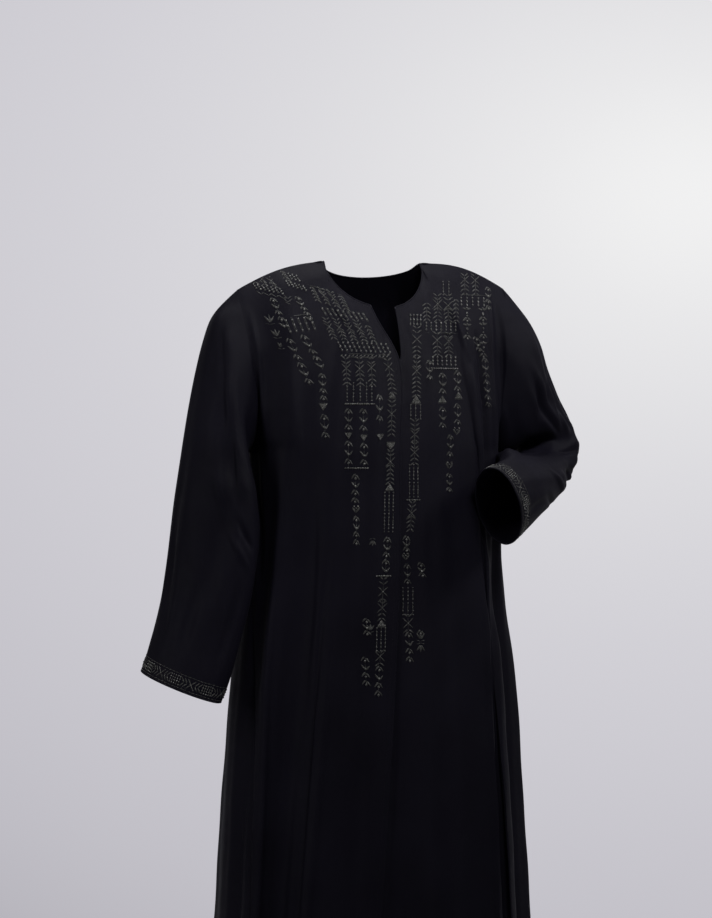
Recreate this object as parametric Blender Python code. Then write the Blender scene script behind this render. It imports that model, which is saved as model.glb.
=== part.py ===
"""Abaya cloak: a long open-front robe with set-in long sleeves, hanging as it is worn.

It is cut as two fronts, one back and two sleeves. The wearer's right front laps over the left
front down the centre, the right arm hangs and the left arm is bent, its cuff before the waist.

Frame, in metres: the origin is midway between the shoulders, which carry the cloak. +Z is up,
the front faces -Y and the wearer's left is +X. Angles round the body run in degrees from the
centre front: 90 is the left side seam, 180 the centre back and -90 the right side seam.
"""

import math

import bpy
import numpy as np

# ------------------------------------------------------------------ driving sizes
WALL = 0.0015           # the cloth's thickness
GAP = 0.0003            # between pieces at a seam
UNDERARM_Z = -0.270
HEM_Z = -1.420
NECK_HALF_WIDTH = 0.075
NECK_TOP_Z = 0.008      # where the shoulder seam meets the neckline
NECK_FRONT = (-0.055, -0.060)   # y and z of the neckline at the centre front
NECK_BACK = (0.050, -0.012)     # and at the centre back
SHOULDER_X = 0.205      # the shoulder tips, where the sleeves begin
SHOULDER_Z = {-1: -0.036, 1: -0.027}    # the bent arm, on the left, lifts its shoulder
SHOULDER_RISE = {-1: 0.009, 1: 0.012}   # each shoulder seam's bow above a straight line
LAP_STEP = 0.0034       # how far the left front sinks below the right one
LAP_FLAT = 0.026        # width of the left front's sunken edge
LAP_BLEND = 0.034       # and of the slope that leads back out of it

# ------------------------------------------------------------------ grid of each panel
YOKE_ROWS = 12          # between the shoulder and the underarm
SKIRT_ROWS = 16         # between the underarm and the hem
NECK_COLUMNS = 7        # of a front, along the neckline
SHOULDER_COLUMNS = 8    # along the shoulder seam
BACK_NECK_COLUMNS = 3   # on each half of the back
SLEEVE_ROWS = 14

# The cloak's section at each height: half width, depth in front and depth behind.
SECTIONS = (
    # height, half width, front, back
    (UNDERARM_Z, 0.187, 0.125, 0.112),
    (-0.440, 0.196, 0.138, 0.116),
    (-0.630, 0.213, 0.150, 0.128),
    (-0.950, 0.231, 0.170, 0.155),
    (HEM_Z, 0.255, 0.195, 0.190),
)

# The front edges, which part above the top fastening and lap below it.
FRONT_EDGES = (
    # height, x of the right front's edge, x of the left front's edge
    (-0.060, -0.0200, 0.0190),
    (-0.085, -0.0110, 0.0185),
    (-0.110, 0.0010, 0.0170),
    (-0.131, 0.0080, 0.0150),
    (-0.150, 0.0105, 0.0060),
    (-0.170, 0.0095, -0.0060),
    (UNDERARM_Z, 0.001, -0.019),
    (-0.400, -0.003, -0.023),
    (-0.631, -0.018, -0.038),
    (-0.950, -0.044, -0.064),
    (HEM_Z, -0.075, -0.095),
)

# The section is fuller where the cloth hangs straight down from each armhole's edge.
FULL_ANGLE = 66         # from the centre front, and from the centre back behind
FULL_REACH = 24
FULL_HEIGHT = {"front": 0.004, "behind": 0.008}
FULL_GONE_Z = -0.52

# Depth of the chest and of the back along their centre lines, above the underarm.
FRONT_CENTRE = (
    # height, y
    (-0.060, -0.055),
    (-0.085, -0.069),
    (-0.115, -0.084),
    (-0.150, -0.099),
    (-0.205, -0.115),
    (UNDERARM_Z, -0.125),
)
BACK_CENTRE = (
    # height, y
    (-0.012, 0.050),
    (-0.060, 0.078),
    (-0.120, 0.099),
    (-0.190, 0.110),
    (UNDERARM_Z, 0.112),
)

# How soon the cloth comes away from the armhole's line, in the fronts and in the back.
FRONT_HOLD = 5
BACK_HOLD = 2.5
YOKE_TURN = 0.65        # the less, the sooner a yoke turns down past the shoulder

# The armhole seam, from the shoulder tip down to the underarm.
ARMHOLE = (
    # share of the seam, x, y in front, y behind, share of the drop to the underarm
    (0.00, SHOULDER_X, 0.000, 0.000, 0.00),
    (0.20, 0.203, -0.030, 0.030, 0.18),
    (0.45, 0.194, -0.048, 0.049, 0.44),
    (0.70, 0.186, -0.048, 0.050, 0.70),
    (0.88, 0.184, -0.031, 0.033, 0.90),
    (1.00, 0.187, 0.000, 0.000, 1.00),
)

# Flutes and creases that run down the cloak: each follows three angles and has a soft and a
# crisp side. A positive height is a ridge and a negative one a trough.
FLUTES = (
    # name, angle at underarm, at hip, at hem, reach before, reach after, begins, at hip, at hem
    ("right front trough", -41, -44, -58, 12, 8, -0.20, -0.016, -0.026),
    ("right front ridge", -54, -59, -68, 8, 8, -0.16, 0.008, 0.013),
    ("right side crease", -74, -71, -77, 7, 6, -0.42, -0.005, -0.009),
    ("left chest ridge", 40, 41, 41, 16, 3.5, 0.00, 0.007, 0.010),
    ("left chest valley", 43, 43.3, 44, 3, 3, -0.15, -0.004, -0.003),
    ("left front ridge", 45, 45.5, 47, 4, 9, -0.03, 0.009, 0.013),
    ("left front trough", 61, 62, 64, 9, 11, -0.14, -0.012, -0.021),
    ("left side ridge", 77, 78, 79, 8, 9, -0.42, 0.006, 0.010),
    ("left back ridge", 107, 109, 112, 11, 10, -0.40, 0.007, 0.013),
    ("left back trough", 127, 130, 133, 11, 13, -0.26, -0.012, -0.022),
    ("left blade ridge", 148, 151, 154, 12, 9, -0.16, 0.008, 0.014),
    ("centre back trough", 169, 172, 174, 14, 12, -0.24, -0.010, -0.019),
    ("right blade ridge", 196, 197, 199, 13, 12, -0.17, 0.008, 0.012),
    ("right back trough", 222, 220, 218, 12, 13, -0.28, -0.013, -0.023),
    ("right back ridge", 243, 246, 247, 11, 11, -0.38, 0.007, 0.012),
)
HIP_Z = -0.630
FLUTE_GROWTH = 0.625    # the share of the yoke's height in which they come in

# The columns of each panel, which follow its flutes.
RIGHT_COLUMNS = (
    # column, angle away from the centre front at underarm, at hip, at hem
    (6, 35, 37, 50),
    (8, 42, 45, 59),
    (11, 54, 59, 68),
    (13, 74, 71, 77),
    (15, 90, 90, 90),
)
LEFT_COLUMNS = (
    (7, 40, 41, 41),
    (8, 43, 43.3, 44),
    (9, 45, 45.5, 47),
    (11, 61, 62, 64),
    (13, 77, 78, 79),
    (15, 90, 90, 90),
)
BACK_COLUMNS = (
    (0, 90, 90, 90),
    (2, 107, 109, 112),
    (5, 127, 130, 133),
    (8, 148, 151, 154),
    (10, 169, 172, 174),
    (11, 180, 181, 183),
    (14, 196, 197, 199),
    (17, 222, 220, 218),
    (20, 243, 246, 247),
    (22, 270, 270, 270),
)

# Each sleeve's sections beyond its armhole. The outer line runs down the outside of the arm,
# the inner line from the underarm, and the front line between them before the arm.
RIGHT_SLEEVE = (
    # outer x, y, z, inner x, y, z, front x, y, z
    (-0.2380, 0.004, -0.072, -0.1965, -0.015, -0.278, -0.2190, -0.062, -0.176),
    (-0.2600, 0.012, -0.145, -0.1920, -0.054, -0.322, -0.2350, -0.074, -0.234),
    (-0.2755, 0.022, -0.235, -0.1930, -0.074, -0.356, -0.2540, -0.072, -0.296),
    (-0.2890, 0.026, -0.330, -0.1970, -0.081, -0.403, -0.2670, -0.066, -0.367),
    (-0.3010, 0.020, -0.420, -0.2060, -0.080, -0.465, -0.2780, -0.067, -0.443),
    (-0.3170, 0.008, -0.500, -0.2230, -0.077, -0.540, -0.2960, -0.069, -0.520),
    (-0.3350, -0.002, -0.553, -0.2400, -0.076, -0.598, -0.3120, -0.074, -0.574),
    (-0.3450, -0.005, -0.578, -0.2500, -0.075, -0.622, -0.3220, -0.076, -0.598),
)
LEFT_SLEEVE = (
    (0.2430, 0.008, -0.074, 0.1990, 0.004, -0.282, 0.2280, -0.054, -0.174),
    (0.2630, 0.020, -0.116, 0.2100, 0.008, -0.275, 0.2440, -0.050, -0.190),
    (0.2820, 0.035, -0.171, 0.2210, 0.012, -0.265, 0.2610, -0.042, -0.210),
    (0.3010, 0.048, -0.210, 0.2320, 0.014, -0.2575, 0.2800, -0.033, -0.226),
    (0.3260, 0.060, -0.254, 0.2430, 0.010, -0.258, 0.3020, -0.010, -0.251),
    (0.3060, 0.032, -0.306, 0.2290, -0.030, -0.2700, 0.2970, -0.031, -0.283),
    (0.2600, -0.030, -0.338, 0.1990, -0.078, -0.2730, 0.2620, -0.082, -0.303),
    (0.2060, -0.098, -0.370, 0.1610, -0.130, -0.279, 0.2080, -0.145, -0.321),
    (0.1580, -0.134, -0.401, 0.1240, -0.162, -0.291, 0.1600, -0.186, -0.346),
)

# Creases across a sleeve: they run between two places, each given by the angle round the arm
# (0 is the outer line, 90 the front, 180 the inner line) and the share of the length.
RIGHT_SLEEVE_CREASES = (
    # name, angle 1, share 1, angle 2, share 2, half width, height
    ("armhole crease", 35, 0.10, 150, 0.42, 0.020, -0.006),
    ("inner trough", 118, 0.30, 100, 0.80, 0.026, -0.008),
    ("front ridge", 70, 0.20, 62, 0.90, 0.024, 0.005),
)
LEFT_SLEEVE_CREASES = (
    ("armhole crease", 40, 0.06, 110, 0.34, 0.018, -0.005),
    ("elbow ridge", 10, 0.47, 112, 0.40, 0.020, 0.005),
    ("elbow trough", 10, 0.57, 118, 0.53, 0.018, -0.007),
    ("forearm ridge", 25, 0.66, 120, 0.65, 0.022, 0.004),
)

# Cloth of each piece: dyed black crepe, one colour all over.
CREPE_COLOUR = (0.011, 0.011, 0.016, 1.0)
CREPE_ROUGHNESS = 0.6

MITRE_LEAST = 0.6       # keeps a sharply mitred seam from growing long
EDGE_ANGLE = 50         # between smooth cloth and its cut edges, in degrees


# ------------------------------------------------------------------ curves and waves
def smooth_curve(places, values, at):
    """Values read along a smooth curve through a table, without overshoot."""
    places = np.asarray(places, float)
    values = np.asarray(values, float).reshape(len(places), -1)
    at = np.atleast_1d(np.asarray(at, float))
    steps = np.diff(places)[:, None]
    rises = np.diff(values, axis=0) / steps
    slopes = np.empty_like(values)
    slopes[0], slopes[-1] = rises[0], rises[-1]
    for i in range(1, len(places) - 1):
        before, after = rises[i - 1], rises[i]
        same_way = before * after > 0
        total = np.where(same_way, before + after, 1.0)
        slopes[i] = np.where(same_way, 2 * before * after / total, 0.0)
    index = np.clip(np.searchsorted(places, at) - 1, 0, len(places) - 2)
    step = steps[index]
    t = np.clip((at - places[index])[:, None] / step, 0, 1)
    return (values[index] * (2 * t**3 - 3 * t**2 + 1)
            + slopes[index] * step * (t**3 - 2 * t**2 + t)
            + values[index + 1] * (3 * t**2 - 2 * t**3)
            + slopes[index + 1] * step * (t**3 - t**2))


def by_height(table, z):
    """The rest of a table's columns at height z; its first column falls from row to row."""
    table = np.asarray(table, float)
    return smooth_curve(-table[:, 0], table[:, 1:], -np.atleast_1d(z))


def soft_step(x):
    x = np.clip(x, 0, 1)
    return x * x * (3 - 2 * x)


def bump(x):
    """1 at the middle, falling smoothly to 0 at -1 and 1."""
    return np.clip(1 - np.asarray(x) ** 2, 0, None) ** 2


# ------------------------------------------------------------------ the body's surface
def section_point(angle, z):
    """A point of the cloak's section, which is a half ellipse before and one behind."""
    width, front, back = by_height(SECTIONS, z)[0]
    turn = math.radians(angle)
    before = math.cos(turn) >= 0
    depth = front if before else back
    point = np.array((width * math.sin(turn), -depth * math.cos(turn), z))
    outward = np.array((depth * math.sin(turn), -width * math.cos(turn), 0.0))
    from_centre = math.degrees(math.acos(abs(math.cos(turn))))
    fullness = FULL_HEIGHT["front" if before else "behind"]
    fullness *= bump((from_centre - FULL_ANGLE) / FULL_REACH)
    fullness *= 1 - soft_step((UNDERARM_Z - z) / (UNDERARM_Z - FULL_GONE_Z))
    return point + outward / np.linalg.norm(outward) * fullness


def flute_height(angle, z):
    """How far the flutes lift the cloth out (or, below zero, in) at one place."""
    height = 0.0
    for _, under, hip, hem, reach_before, reach_after, begins, at_hip, at_hem in FLUTES:
        heights = (UNDERARM_Z, HIP_Z, HEM_Z)
        centre = np.interp(-z, -np.array(heights), (under, hip, hem))
        away = (angle - centre + 180) % 360 - 180
        reach = reach_after if away > 0 else reach_before
        grown = soft_step((begins - z) / (begins - HIP_Z)) if z > HIP_Z else 1.0
        fall = max(0.0, (HIP_Z - z) / (HIP_Z - HEM_Z))
        height += bump(away / reach) * grown * (at_hip + (at_hem - at_hip) * fall)
    return float(height)


def column_angle(columns, column, z, edge_angle=None):
    """The angle away from the centre front at which a panel's column stands."""
    rows = list(columns)
    if edge_angle is not None:
        rows.insert(0, (0, edge_angle, edge_angle, edge_angle))
    numbers = [row[0] for row in rows]
    heights = (UNDERARM_Z, HIP_Z, HEM_Z)
    angles = [np.interp(-z, -np.array(heights), row[1:]) for row in rows]
    return float(np.interp(column, numbers, angles))


def yoke_patch(top, bottom, centre, armhole, hold):
    """A surface inside four edges; top and bottom run from the centre to the armhole.

    It leaves the shoulder forwards and then turns down, so its depth grows early.
    """
    rows, columns = len(centre), len(top)
    down = np.linspace(0, 1, rows)[:, None]
    early = (1 - (1 - down) ** 2) ** YOKE_TURN
    share = np.concatenate((down, early, down), axis=1)[:, None, :]
    across = np.linspace(0, 1, columns)[None, :, None]
    between = (1 - share) * top[None] + share * bottom[None]
    centre_lift = centre[:, None] - ((1 - share) * centre[0] + share * centre[-1])
    armhole_lift = armhole[:, None] - ((1 - share) * armhole[0] + share * armhole[-1])
    return between + (1 - soft_step(across)) * centre_lift + across**hold * armhole_lift


def shoulder_seam(side):
    """The seam from the neckline out to the shoulder tip, towards +X."""
    share = np.linspace(0, 1, SHOULDER_COLUMNS + 1)[:, None]
    neck = np.array((NECK_HALF_WIDTH, 0.0, NECK_TOP_Z))
    tip = np.array((SHOULDER_X, 0.0, SHOULDER_Z[side]))
    seam = neck + (tip - neck) * share
    seam[:, 2] += SHOULDER_RISE[side] * np.sin(math.pi * share[:, 0])
    return seam


def neckline(depth, low_z, start_x, columns):
    """A quarter of the neckline, from x = start_x at the centre out to the shoulder seam."""
    turn = np.linspace(math.asin(start_x / NECK_HALF_WIDTH), math.pi / 2, columns + 1)
    return np.stack((NECK_HALF_WIDTH * np.sin(turn),
                     depth * np.cos(turn),
                     low_z + (NECK_TOP_Z - low_z) * (1 - np.cos(turn))), axis=1)


def armhole_seam(side, behind):
    """Half of an armhole, from the shoulder tip down, towards +X."""
    rows = np.array(ARMHOLE)
    seam = smooth_curve(rows[:, 0], rows[:, 1:], np.linspace(0, 1, YOKE_ROWS + 1))
    seam[:, 3] = SHOULDER_Z[side] + (UNDERARM_Z - SHOULDER_Z[side]) * seam[:, 3]
    return seam[:, (0, 2 if behind else 1, 3)]


def skirt_heights():
    return np.linspace(UNDERARM_Z, HEM_Z, SKIRT_ROWS + 1)


def mirrored(points):
    return points * np.array((-1.0, 1.0, 1.0))


def front_edge_x(z, side):
    right_edge, left_edge = by_height(FRONT_EDGES, z)[0]
    return right_edge if side < 0 else left_edge


def edge_angle(z, side):
    """The front edge's angle away from the centre front, towards its own side seam."""
    width = by_height(SECTIONS, z)[0][0]
    return math.degrees(math.asin(side * front_edge_x(z, side) / width))


def front_grid(side, columns):
    """A front's outer face, as rows of points from its front edge to its side seam.

    side is -1 for the wearer's right front and 1 for the left one. The grid is worked out
    towards +X and turned over for the right front.
    """
    top_z = FRONT_EDGES[0][0]
    count = NECK_COLUMNS + SHOULDER_COLUMNS + 1
    start_x = side * front_edge_x(top_z, side)
    neck = neckline(NECK_FRONT[0], NECK_FRONT[1], start_x, NECK_COLUMNS)
    top = np.concatenate((neck, shoulder_seam(side)[1:]))
    angles = [column_angle(columns, i, UNDERARM_Z, edge_angle(UNDERARM_Z, side))
              for i in range(count)]
    bottom = np.array([section_point(angle, UNDERARM_Z) for angle in angles])
    heights = np.linspace(top[0][2], UNDERARM_Z, YOKE_ROWS + 1)
    centre = np.array([(side * front_edge_x(z, side), by_height(FRONT_CENTRE, z)[0][0], z)
                       for z in heights])
    centre[0], centre[-1] = top[0], bottom[0]
    yoke = yoke_patch(top, bottom, centre, armhole_seam(side, behind=False), FRONT_HOLD)
    skirt = np.array([[section_point(column_angle(columns, i, z, edge_angle(z, side)), z)
                       for i in range(count)] for z in skirt_heights()[1:]])
    grid = np.concatenate((yoke, skirt))
    return mirrored(grid) if side < 0 else grid


def back_grid():
    """The back's outer face, as rows of points from the left side seam to the right one."""
    half = BACK_NECK_COLUMNS + SHOULDER_COLUMNS
    neck = neckline(NECK_BACK[0], NECK_BACK[1], 0.0, BACK_NECK_COLUMNS)
    left_top, right_top = [np.concatenate((neck, shoulder_seam(side)[1:])) for side in (1, -1)]
    heights = np.linspace(NECK_BACK[1], UNDERARM_Z, YOKE_ROWS + 1)
    centre = np.array([(0.0, by_height(BACK_CENTRE, z)[0][0], z) for z in heights])
    angles = [column_angle(BACK_COLUMNS, i, UNDERARM_Z) for i in range(2 * half + 1)]
    bottom = np.array([section_point(angle, UNDERARM_Z) for angle in angles])
    centre_bottom = section_point(180, UNDERARM_Z)
    left_bottom = np.concatenate((bottom[:half], [centre_bottom]))[::-1]
    right_bottom = mirrored(np.concatenate(([centre_bottom], bottom[half + 1:])))
    left = yoke_patch(left_top, left_bottom, centre, armhole_seam(1, behind=True), BACK_HOLD)
    right = yoke_patch(right_top, right_bottom, centre, armhole_seam(-1, behind=True), BACK_HOLD)
    yoke = np.concatenate((left[:, ::-1], mirrored(right)[:, 1:]), axis=1)
    skirt = np.array([[section_point(column_angle(BACK_COLUMNS, i, z), z)
                       for i in range(2 * half + 1)] for z in skirt_heights()[1:]])
    return np.concatenate((yoke, skirt))


def grid_angles(columns, count, side=1):
    """The angle round the body of every point of a panel's grid."""
    heights = np.concatenate((np.full(YOKE_ROWS, UNDERARM_Z), skirt_heights()))
    fronts = columns is not BACK_COLUMNS
    angles = [[column_angle(columns, i, z, edge_angle(z, side) if fronts else None)
               for i in range(count)] for z in heights]
    return side * np.array(angles)


def grid_normals(grid, closed, heart):
    """Unit normals of a grid of points, facing away from the points in heart."""
    if closed:
        along = np.roll(grid, -1, axis=1) - np.roll(grid, 1, axis=1)
    else:
        along = np.gradient(grid, axis=1)
    down = np.gradient(grid, axis=0)
    normals = np.cross(along, down)
    normals /= np.linalg.norm(normals, axis=2, keepdims=True)
    facing = np.sum(normals * (grid - heart))
    return normals * np.sign(facing)


def body_heart(grid):
    """The middle of the body at each point's height, kept below the shoulders."""
    heart = np.zeros_like(grid)
    heart[..., 2] = np.minimum(grid[..., 2], 2 * SHOULDER_Z[-1])
    return heart


def with_flutes(grid, angles):
    normals = grid_normals(grid, False, body_heart(grid))
    lifts = np.array([[flute_height(angle, point[2]) for angle, point in zip(*row)]
                      for row in zip(angles, grid)])
    fade = np.ones(len(grid))
    fade[:YOKE_ROWS] = soft_step(np.linspace(0, 1 / FLUTE_GROWTH, YOKE_ROWS + 1)[:-1])
    return grid + normals * (lifts * fade[:, None])[..., None]


def with_lap(grid):
    """The left front, its edge sunk below the right front's."""
    normals = grid_normals(grid, False, body_heart(grid))
    widths = np.linalg.norm(np.diff(grid, axis=1), axis=2)
    from_edge = np.concatenate((np.zeros((len(grid), 1)), np.cumsum(widths, axis=1)), axis=1)
    sunk = 1 - soft_step((from_edge - LAP_FLAT) / LAP_BLEND)
    return grid - normals * (LAP_STEP * sunk)[..., None]


# ------------------------------------------------------------------ sleeves
def armhole_loop(side):
    """An armhole, from the shoulder tip down its front and up its back."""
    front = armhole_seam(side, behind=False)
    behind = armhole_seam(side, behind=True)
    loop = np.concatenate((front, behind[-2:0:-1]))
    return mirrored(loop) if side < 0 else loop


def sleeve_grid(sections, loop):
    """A sleeve's outer face, as rings of points from its armhole to its cuff."""
    around = np.linspace(0, 2 * math.pi, len(loop), endpoint=False)[:, None]
    rings = [loop]
    for row in sections:
        outer, inner, front = np.array(row).reshape(3, 3)
        centre = (outer + inner) / 2
        rings.append(centre + (outer - centre) * np.cos(around) + (front - centre) * np.sin(around))
    rings = np.array(rings)
    travel = np.linalg.norm(np.diff(rings.mean(axis=1), axis=0), axis=1)
    places = np.concatenate(([0.0], np.cumsum(travel))) / travel.sum()
    flat = smooth_curve(places, rings.reshape(len(rings), -1), np.linspace(0, 1, SLEEVE_ROWS + 1))
    return flat.reshape(SLEEVE_ROWS + 1, len(loop), 3)


def with_creases(grid, creases):
    """A sleeve with its creases pressed in and ridges raised."""
    rings = grid.mean(axis=1, keepdims=True)
    normals = grid_normals(grid, True, rings)
    length = np.linalg.norm(np.diff(rings[:, 0], axis=0), axis=1).sum()
    radius = np.linalg.norm(grid - rings, axis=2).mean()
    share = np.linspace(0, 1, len(grid))[:, None]
    angle = np.linspace(0, 360, grid.shape[1], endpoint=False)[None, :]
    lift = np.zeros(grid.shape[:2])
    for _, angle_1, share_1, angle_2, share_2, half_width, height in creases:
        start = np.array((math.radians(angle_1) * radius, share_1 * length))
        run = np.array((math.radians(angle_2) * radius, share_2 * length)) - start
        x = np.radians(angle) * radius - start[0]
        y = share * length - start[1]
        along = (x * run[0] + y * run[1]) / (run @ run)
        aside = (x * run[1] - y * run[0]) / np.linalg.norm(run)
        lift += height * bump(aside / half_width) * bump(2 * along - 1)
    return grid + normals * lift[..., None]


# ------------------------------------------------------------------ seams and solids
class Piece:
    """One cut piece: its outer face, the normals to its wall and its seam edges."""

    def __init__(self, name, grid, closed=False):
        self.name = name
        self.grid = grid
        self.closed = closed
        heart = grid.mean(axis=1, keepdims=True) if closed else body_heart(grid)
        self.normals = grid_normals(grid, closed, heart)

    def rim(self):
        """The row and column of every point on the piece's edge."""
        rows, columns = self.grid.shape[:2]
        if self.closed:
            return [(r, c) for r in (0, rows - 1) for c in range(columns)]
        return [(r, c) for r in range(rows) for c in range(columns)
                if r in (0, rows - 1) or c in (0, columns - 1)]

    def into_cloth(self, row, column):
        """The direction from a point of the edge to the cloth inside it."""
        rows, columns = self.grid.shape[:2]
        inner_row = min(max(row, 1), rows - 2)
        inner_column = column if self.closed else min(max(column, 1), columns - 2)
        step = self.grid[inner_row, inner_column] - self.grid[row, column]
        if inner_row != row and inner_column != column:
            return step / np.linalg.norm(step)
        if inner_row != row:
            edge = self.grid[row, (column + 1) % columns] - self.grid[row, column - 1]
        else:
            edge = self.grid[row + 1, column] - self.grid[row - 1, column]
        edge /= np.linalg.norm(edge)
        step -= edge * (step @ edge)
        return step / np.linalg.norm(step)


def part_seams(pieces):
    """Give the pieces that meet at a seam one mitre, and draw them GAP apart."""
    rims = [(piece, place) for piece in pieces for place in piece.rim()]
    points = np.array([piece.grid[place] for piece, place in rims])
    meeting = {}
    for i, point in enumerate(points):
        near = np.nonzero(np.linalg.norm(points - point, axis=1) < GAP / 10)[0]
        if len(near) > 1:
            meeting[i] = near
    normals = [piece.normals[place].copy() for piece, place in rims]
    inwards = [piece.into_cloth(*place) for piece, place in rims]
    for i, near in meeting.items():
        piece, place = rims[i]
        # a sleeve counts as much as all the panels that it meets there
        weights = [len(near) - 1 if rims[j][0].closed else 1 for j in near]
        shared = np.sum([normals[j] * weight for j, weight in zip(near, weights)], axis=0)
        shared /= np.linalg.norm(shared)
        mitre = max(MITRE_LEAST, float(shared @ normals[i]))
        piece.normals[place] = shared / mitre
        away = inwards[i] - np.mean([inwards[j] for j in near], axis=0)
        piece.grid[place] = points[i] + GAP / 2 * away / np.linalg.norm(away)


def crepe(name):
    material = bpy.data.materials.new(name + "_crepe")
    material.use_nodes = True
    shader = material.node_tree.nodes["Principled BSDF"]
    shader.inputs["Base Color"].default_value = CREPE_COLOUR
    shader.inputs["Roughness"].default_value = CREPE_ROUGHNESS
    shader.inputs["Metallic"].default_value = 0.0
    return material


def build_wall(piece):
    """The piece as one closed wall of cloth, WALL thick inwards of its outer face."""
    rows, columns = piece.grid.shape[:2]
    inner = piece.grid - WALL * piece.normals
    points = np.concatenate((piece.grid.reshape(-1, 3), inner.reshape(-1, 3)))
    below = rows * columns
    last = columns if piece.closed else columns - 1
    faces = []
    for r in range(rows - 1):
        for c in range(last):
            d = (c + 1) % columns
            low, high = r * columns, (r + 1) * columns
            for corners in ([low + c, low + d, high + d], [low + c, high + d, high + c]):
                faces.append(corners)
                faces.append([corner + below for corner in reversed(corners)])
    top = list(range(columns))
    bottom = list(range((rows - 1) * columns, rows * columns))
    edges = [top, bottom[::-1]]
    if piece.closed:
        edges = [top + top[:1], (bottom + bottom[:1])[::-1]]
    else:
        edges.append([r * columns + columns - 1 for r in range(rows)])
        edges.append([r * columns for r in reversed(range(rows))])
    for edge in edges:
        for a, b in zip(edge, edge[1:]):
            # both pieces at a seam split their edges from the higher point
            if points[a][2] > points[b][2]:
                faces += [[b, a, b + below], [a, a + below, b + below]]
            else:
                faces += [[b, a, a + below], [b, a + below, b + below]]
    mesh = bpy.data.meshes.new(piece.name)
    mesh.from_pydata([tuple(point) for point in points], [], faces)
    if outward_volume(mesh) < 0:
        mesh.flip_normals()
    mesh.shade_smooth()
    mesh.set_sharp_from_angle(angle=math.radians(EDGE_ANGLE))
    mesh.materials.append(crepe(piece.name))
    bpy.context.scene.collection.objects.link(bpy.data.objects.new(piece.name, mesh))


def outward_volume(mesh):
    """The volume that the mesh's faces enclose, which is negative if they face in."""
    volume = 0.0
    for face in mesh.polygons:
        corners = [mesh.vertices[i].co for i in face.vertices]
        for b, c in zip(corners[1:], corners[2:]):
            volume += corners[0].dot(b.cross(c)) / 6
    return volume


def main():
    for item in list(bpy.data.objects):
        bpy.data.objects.remove(item, do_unlink=True)
    front_count = NECK_COLUMNS + SHOULDER_COLUMNS + 1
    back_count = 2 * (BACK_NECK_COLUMNS + SHOULDER_COLUMNS) + 1
    right_front = with_flutes(front_grid(-1, RIGHT_COLUMNS),
                              grid_angles(RIGHT_COLUMNS, front_count, -1))
    left_front = with_flutes(front_grid(1, LEFT_COLUMNS), grid_angles(LEFT_COLUMNS, front_count))
    back = with_flutes(back_grid(), grid_angles(BACK_COLUMNS, back_count))
    right_sleeve = sleeve_grid(RIGHT_SLEEVE, armhole_loop(-1))
    left_sleeve = sleeve_grid(LEFT_SLEEVE, armhole_loop(1))
    pieces = [
        Piece("right_front", right_front),
        Piece("left_front", with_lap(left_front)),
        Piece("back", back),
        Piece("right_sleeve", with_creases(right_sleeve, RIGHT_SLEEVE_CREASES), closed=True),
        Piece("left_sleeve", with_creases(left_sleeve, LEFT_SLEEVE_CREASES), closed=True),
    ]
    part_seams(pieces)
    for piece in pieces:
        build_wall(piece)


main()
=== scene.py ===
"""Looks of the abaya cloak: black crepe with tone-on-tone embroidery and beads.

Each cut piece is worked out again on its solid's form, with many more points, its finer folds
and its turned edges. The embroidery lies on these surfaces, as satin stitches and beads.

Frame, in metres: the origin is midway between the shoulders, +Z is up, the front faces -Y and
the wearer's left is +X. Embroidery is laid out in millimetres.
"""

import math

import bpy
import numpy as np
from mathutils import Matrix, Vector
from mathutils.bvhtree import BVHTree


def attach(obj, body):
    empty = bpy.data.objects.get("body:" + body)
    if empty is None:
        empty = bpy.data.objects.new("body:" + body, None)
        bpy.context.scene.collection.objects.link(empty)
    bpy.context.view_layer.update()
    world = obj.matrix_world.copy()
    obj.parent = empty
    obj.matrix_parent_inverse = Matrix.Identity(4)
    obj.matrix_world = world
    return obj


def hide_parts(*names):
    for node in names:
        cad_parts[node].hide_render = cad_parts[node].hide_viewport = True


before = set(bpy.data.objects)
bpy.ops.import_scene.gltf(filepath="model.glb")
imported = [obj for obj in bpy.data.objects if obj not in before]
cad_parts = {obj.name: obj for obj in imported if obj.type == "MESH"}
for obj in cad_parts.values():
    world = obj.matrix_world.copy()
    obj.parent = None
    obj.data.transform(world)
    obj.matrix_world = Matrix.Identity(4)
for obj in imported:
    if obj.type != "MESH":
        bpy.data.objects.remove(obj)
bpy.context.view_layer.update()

# ------------------------------------------------------------------ driving sizes
UNDERARM_Z = -0.270
HEM_Z = -1.420
NECK_HALF_WIDTH = 0.075
NECK_TOP_Z = 0.008      # where the shoulder seam meets the neckline
NECK_FRONT = (-0.055, -0.060)   # y and z of the neckline at the centre front
NECK_BACK = (0.050, -0.012)     # and at the centre back
SHOULDER_X = 0.205      # the shoulder tips, where the sleeves begin
SHOULDER_Z = {-1: -0.036, 1: -0.027}    # the bent arm, on the left, lifts its shoulder
SHOULDER_RISE = {-1: 0.009, 1: 0.012}   # each shoulder seam's bow above a straight line
LAP_STEP = 0.0034       # how far the left front sinks below the right one
LAP_FLAT = 0.026        # width of the left front's sunken edge
LAP_BLEND = 0.034       # and of the slope that leads back out of it

# ------------------------------------------------------------------ grid of each panel
YOKE_ROWS = 12          # between the shoulder and the underarm
SKIRT_ROWS = 16         # between the underarm and the hem
NECK_COLUMNS = 7        # of a front, along the neckline
SHOULDER_COLUMNS = 8    # along the shoulder seam
BACK_NECK_COLUMNS = 3   # on each half of the back
SLEEVE_ROWS = 14

# The cloak's section at each height: half width, depth in front and depth behind.
SECTIONS = (
    # height, half width, front, back
    (UNDERARM_Z, 0.187, 0.125, 0.112),
    (-0.440, 0.196, 0.138, 0.116),
    (-0.630, 0.213, 0.150, 0.128),
    (-0.950, 0.231, 0.170, 0.155),
    (HEM_Z, 0.255, 0.195, 0.190),
)

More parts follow.
